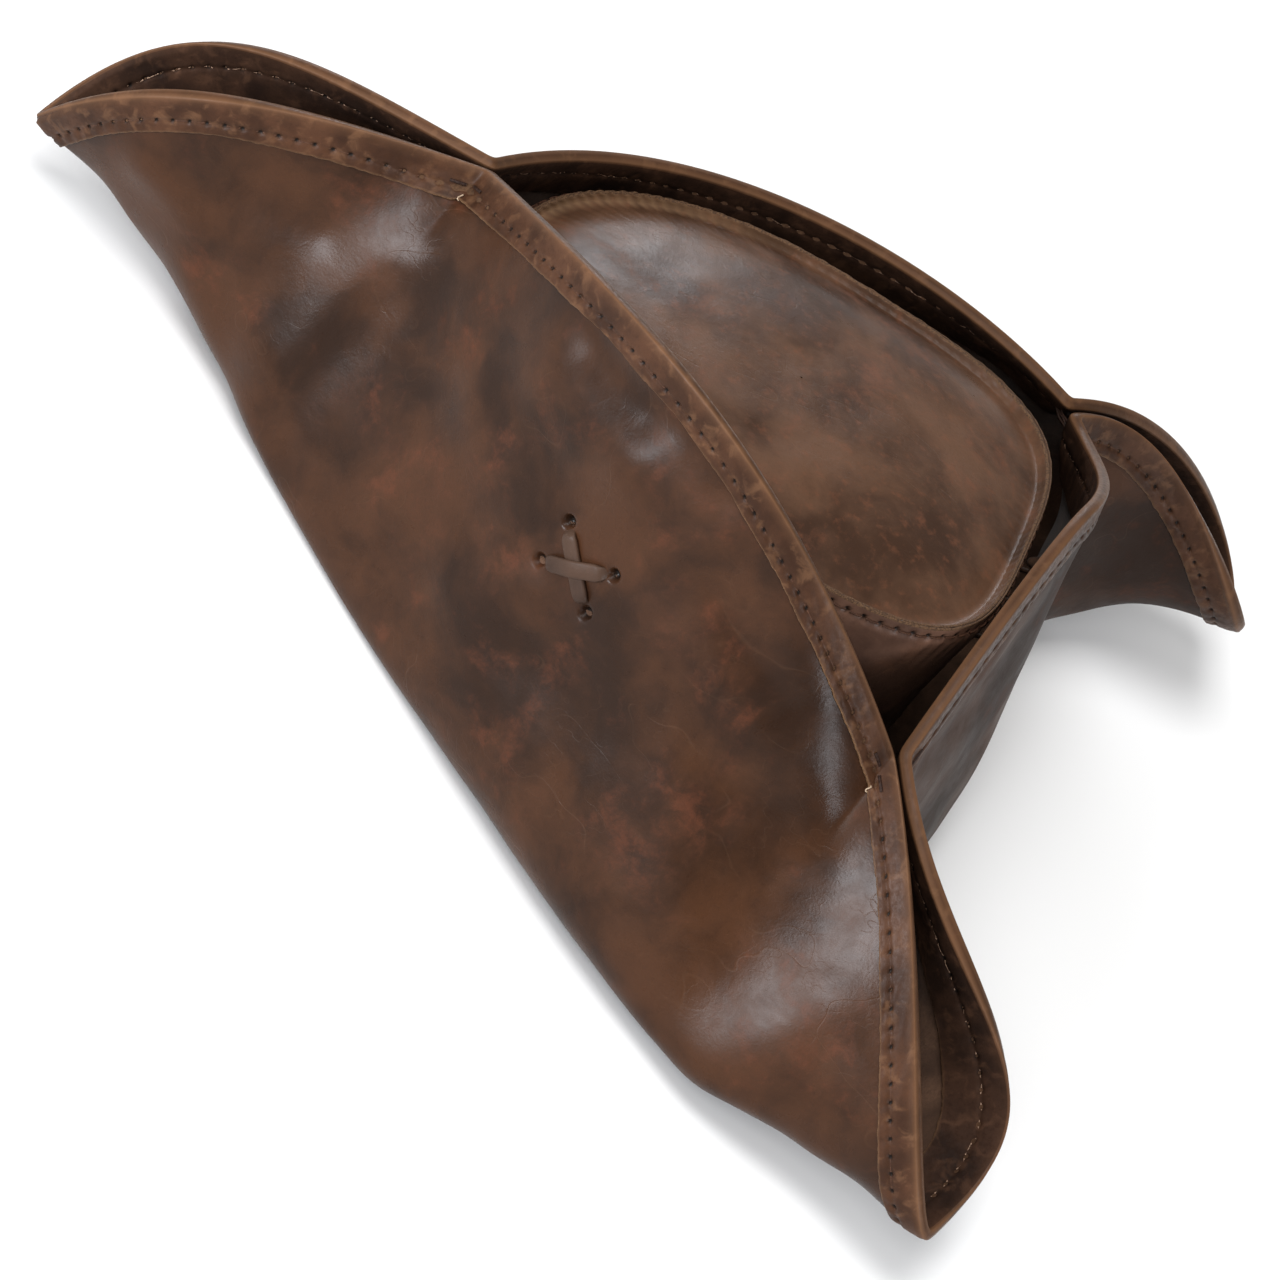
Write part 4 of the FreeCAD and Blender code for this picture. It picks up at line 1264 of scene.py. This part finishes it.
def make_tacks():
    """A few turns of thread through both sides of each pinched corner, ending in small knots."""
    corners = [("front", FRONT_TACK, np.array([1.0, 0, 0]), (1, 9)),
               ("rear_left", REAR_TACK, REAR_ACROSS, (2, 4)),
               ("rear_right", mirrored(REAR_TACK), REAR_ACROSS * [-1, 1, 1], (6, 8))]
    for name, place, across, stretches in corners:
        middle = np.array(place, float) - [0, 0, TACK_DROP]
        parts = []
        for k, (rise, drift) in enumerate(TACK_TURNS):
            share = np.linspace(-1, 1, TACK_STEPS)
            path = (middle + across * (share * TACK_HALF_LENGTH)[:, None]
                    + np.array([0, 0, 1.0]) * (rise + 0.3 * np.cos(share * 5 + k))[:, None]
                    + np.array([0, drift, 0]))
            parts.append(tubes([path], TACK_RADIUS, THREAD_SIDES))
        for stretch in stretches:
            parts += tack_bars(stretch)
        dark = sum(len(faces) for _, faces in parts)
        parts += [tack_loop(stretch) for stretch in stretches]
        points, faces = joined(parts)
        pale = (np.arange(len(faces)) >= dark).astype(int)
        make_object("tack_" + name, points, faces, [DARK_THREAD, PALE_THREAD],
                    "corner_tack_" + name, pale)


# ---- stage ----
AZIMUTH, ELEVATION, ROLL = (math.radians(angle) for angle in (79.45, 40.08, -44.61))
CAMERA_DISTANCE = 3.2356
CAMERA_RIGHT, CAMERA_UP = 0.0223, -0.0159
CAMERA_FAR = 50
FOCAL_LENGTH, SENSOR = 289.5, 36.0
FLOOR_SIZE = 24
FLOOR_TONES = ((0.84, 0.84, 0.84, 1), (0.86, 0.86, 0.86, 1))


def view_axes():
    """The camera's right, up and the way towards it."""
    toward = np.array([math.sin(AZIMUTH) * math.cos(ELEVATION),
                       -math.cos(AZIMUTH) * math.cos(ELEVATION), math.sin(ELEVATION)])
    level = np.array([math.cos(AZIMUTH), math.sin(AZIMUTH), 0.0])
    upright = np.cross(toward, level)
    right = level * math.cos(ROLL) - upright * math.sin(ROLL)
    up = level * math.sin(ROLL) + upright * math.cos(ROLL)
    return right, up, toward


def make_camera():
    right, up, toward = view_axes()
    data = bpy.data.cameras.new("camera")
    data.lens = FOCAL_LENGTH
    data.sensor_width = SENSOR
    data.clip_end = CAMERA_FAR
    camera = add_object("camera", data)
    place = toward * CAMERA_DISTANCE + right * CAMERA_RIGHT + up * CAMERA_UP
    axes = Matrix([right, up, toward]).transposed().to_4x4()
    camera.matrix_world = Matrix.Translation(place) @ axes
    bpy.context.scene.camera = camera


def make_floor():
    low = cad_box[0][2]
    bpy.ops.mesh.primitive_plane_add(size=FLOOR_SIZE, location=(0, 0, low))
    floor = bpy.context.object
    floor.name = "floor"
    look = Look("floor_paint", 0.9, specular=0.1)
    tone = look.mix(look.noise(300, detail=2), *FLOOR_TONES)
    floor.data.materials.append(look.finish(tone))


LIT_POINT = (0, 0, 0.08)
COOL, COOLER, WHITE = (0.92, 0.95, 1.0), (0.90, 0.94, 1.0), (1.0, 1.0, 1.0)
LIGHTS = [  # name, place in metres, size in metres, power in watts, colour
    ("left_low", (3.1, -3.1, 0.6), 1.8, 300, COOLER),
    ("left_back", (2.6, 3.6, 0.9), 1.3, 90, COOLER),
    ("behind", (-4.3, -1.3, 1.5), 1.6, 80, COOL),
    ("over", (1.0, -1.2, 4.2), 2.2, 145, WHITE),
    ("front", (3.2, -0.9, 3.2), 1.4, 55, WHITE),
]
WORLD_COLOR = (1.0, 0.98, 0.95, 1)
WORLD_STRENGTH = 0.36


def make_light(name, place, size, power, color):
    """A soft square light that faces the hat."""
    data = bpy.data.lights.new(name, "AREA")
    data.size = size
    data.energy = power
    data.color = color
    light = add_object(name, data)
    light.location = place
    way = Vector(LIT_POINT) - Vector(place)
    light.rotation_euler = way.to_track_quat("-Z", "Y").to_euler()


def make_lights():
    """A pale world, and soft boxes left, behind, over and in front of the hat."""
    world = bpy.data.worlds.new("studio")
    world.use_nodes = True
    background = world.node_tree.nodes["Background"]
    background.inputs["Color"].default_value = WORLD_COLOR
    background.inputs["Strength"].default_value = WORLD_STRENGTH
    bpy.context.scene.world = world
    for light in LIGHTS:
        make_light(*light)
    bpy.context.scene.view_settings.view_transform = "Standard"


# ---- everything ----
make_brim()
make_binding()
binding_stitches("binding_stitches_outside", GRAIN, -1, "binding_thread_outside", SEAM_THREAD,
                 0.12)
binding_stitches("binding_stitches_inside", FLESH, 1, "binding_thread_inside", INNER_THREAD,
                 1.1)
make_crown_wall()
make_crown_tip()
crown_seams()
make_sweatband()
make_laces()
make_tacks()
make_floor()
make_lights()
make_camera()
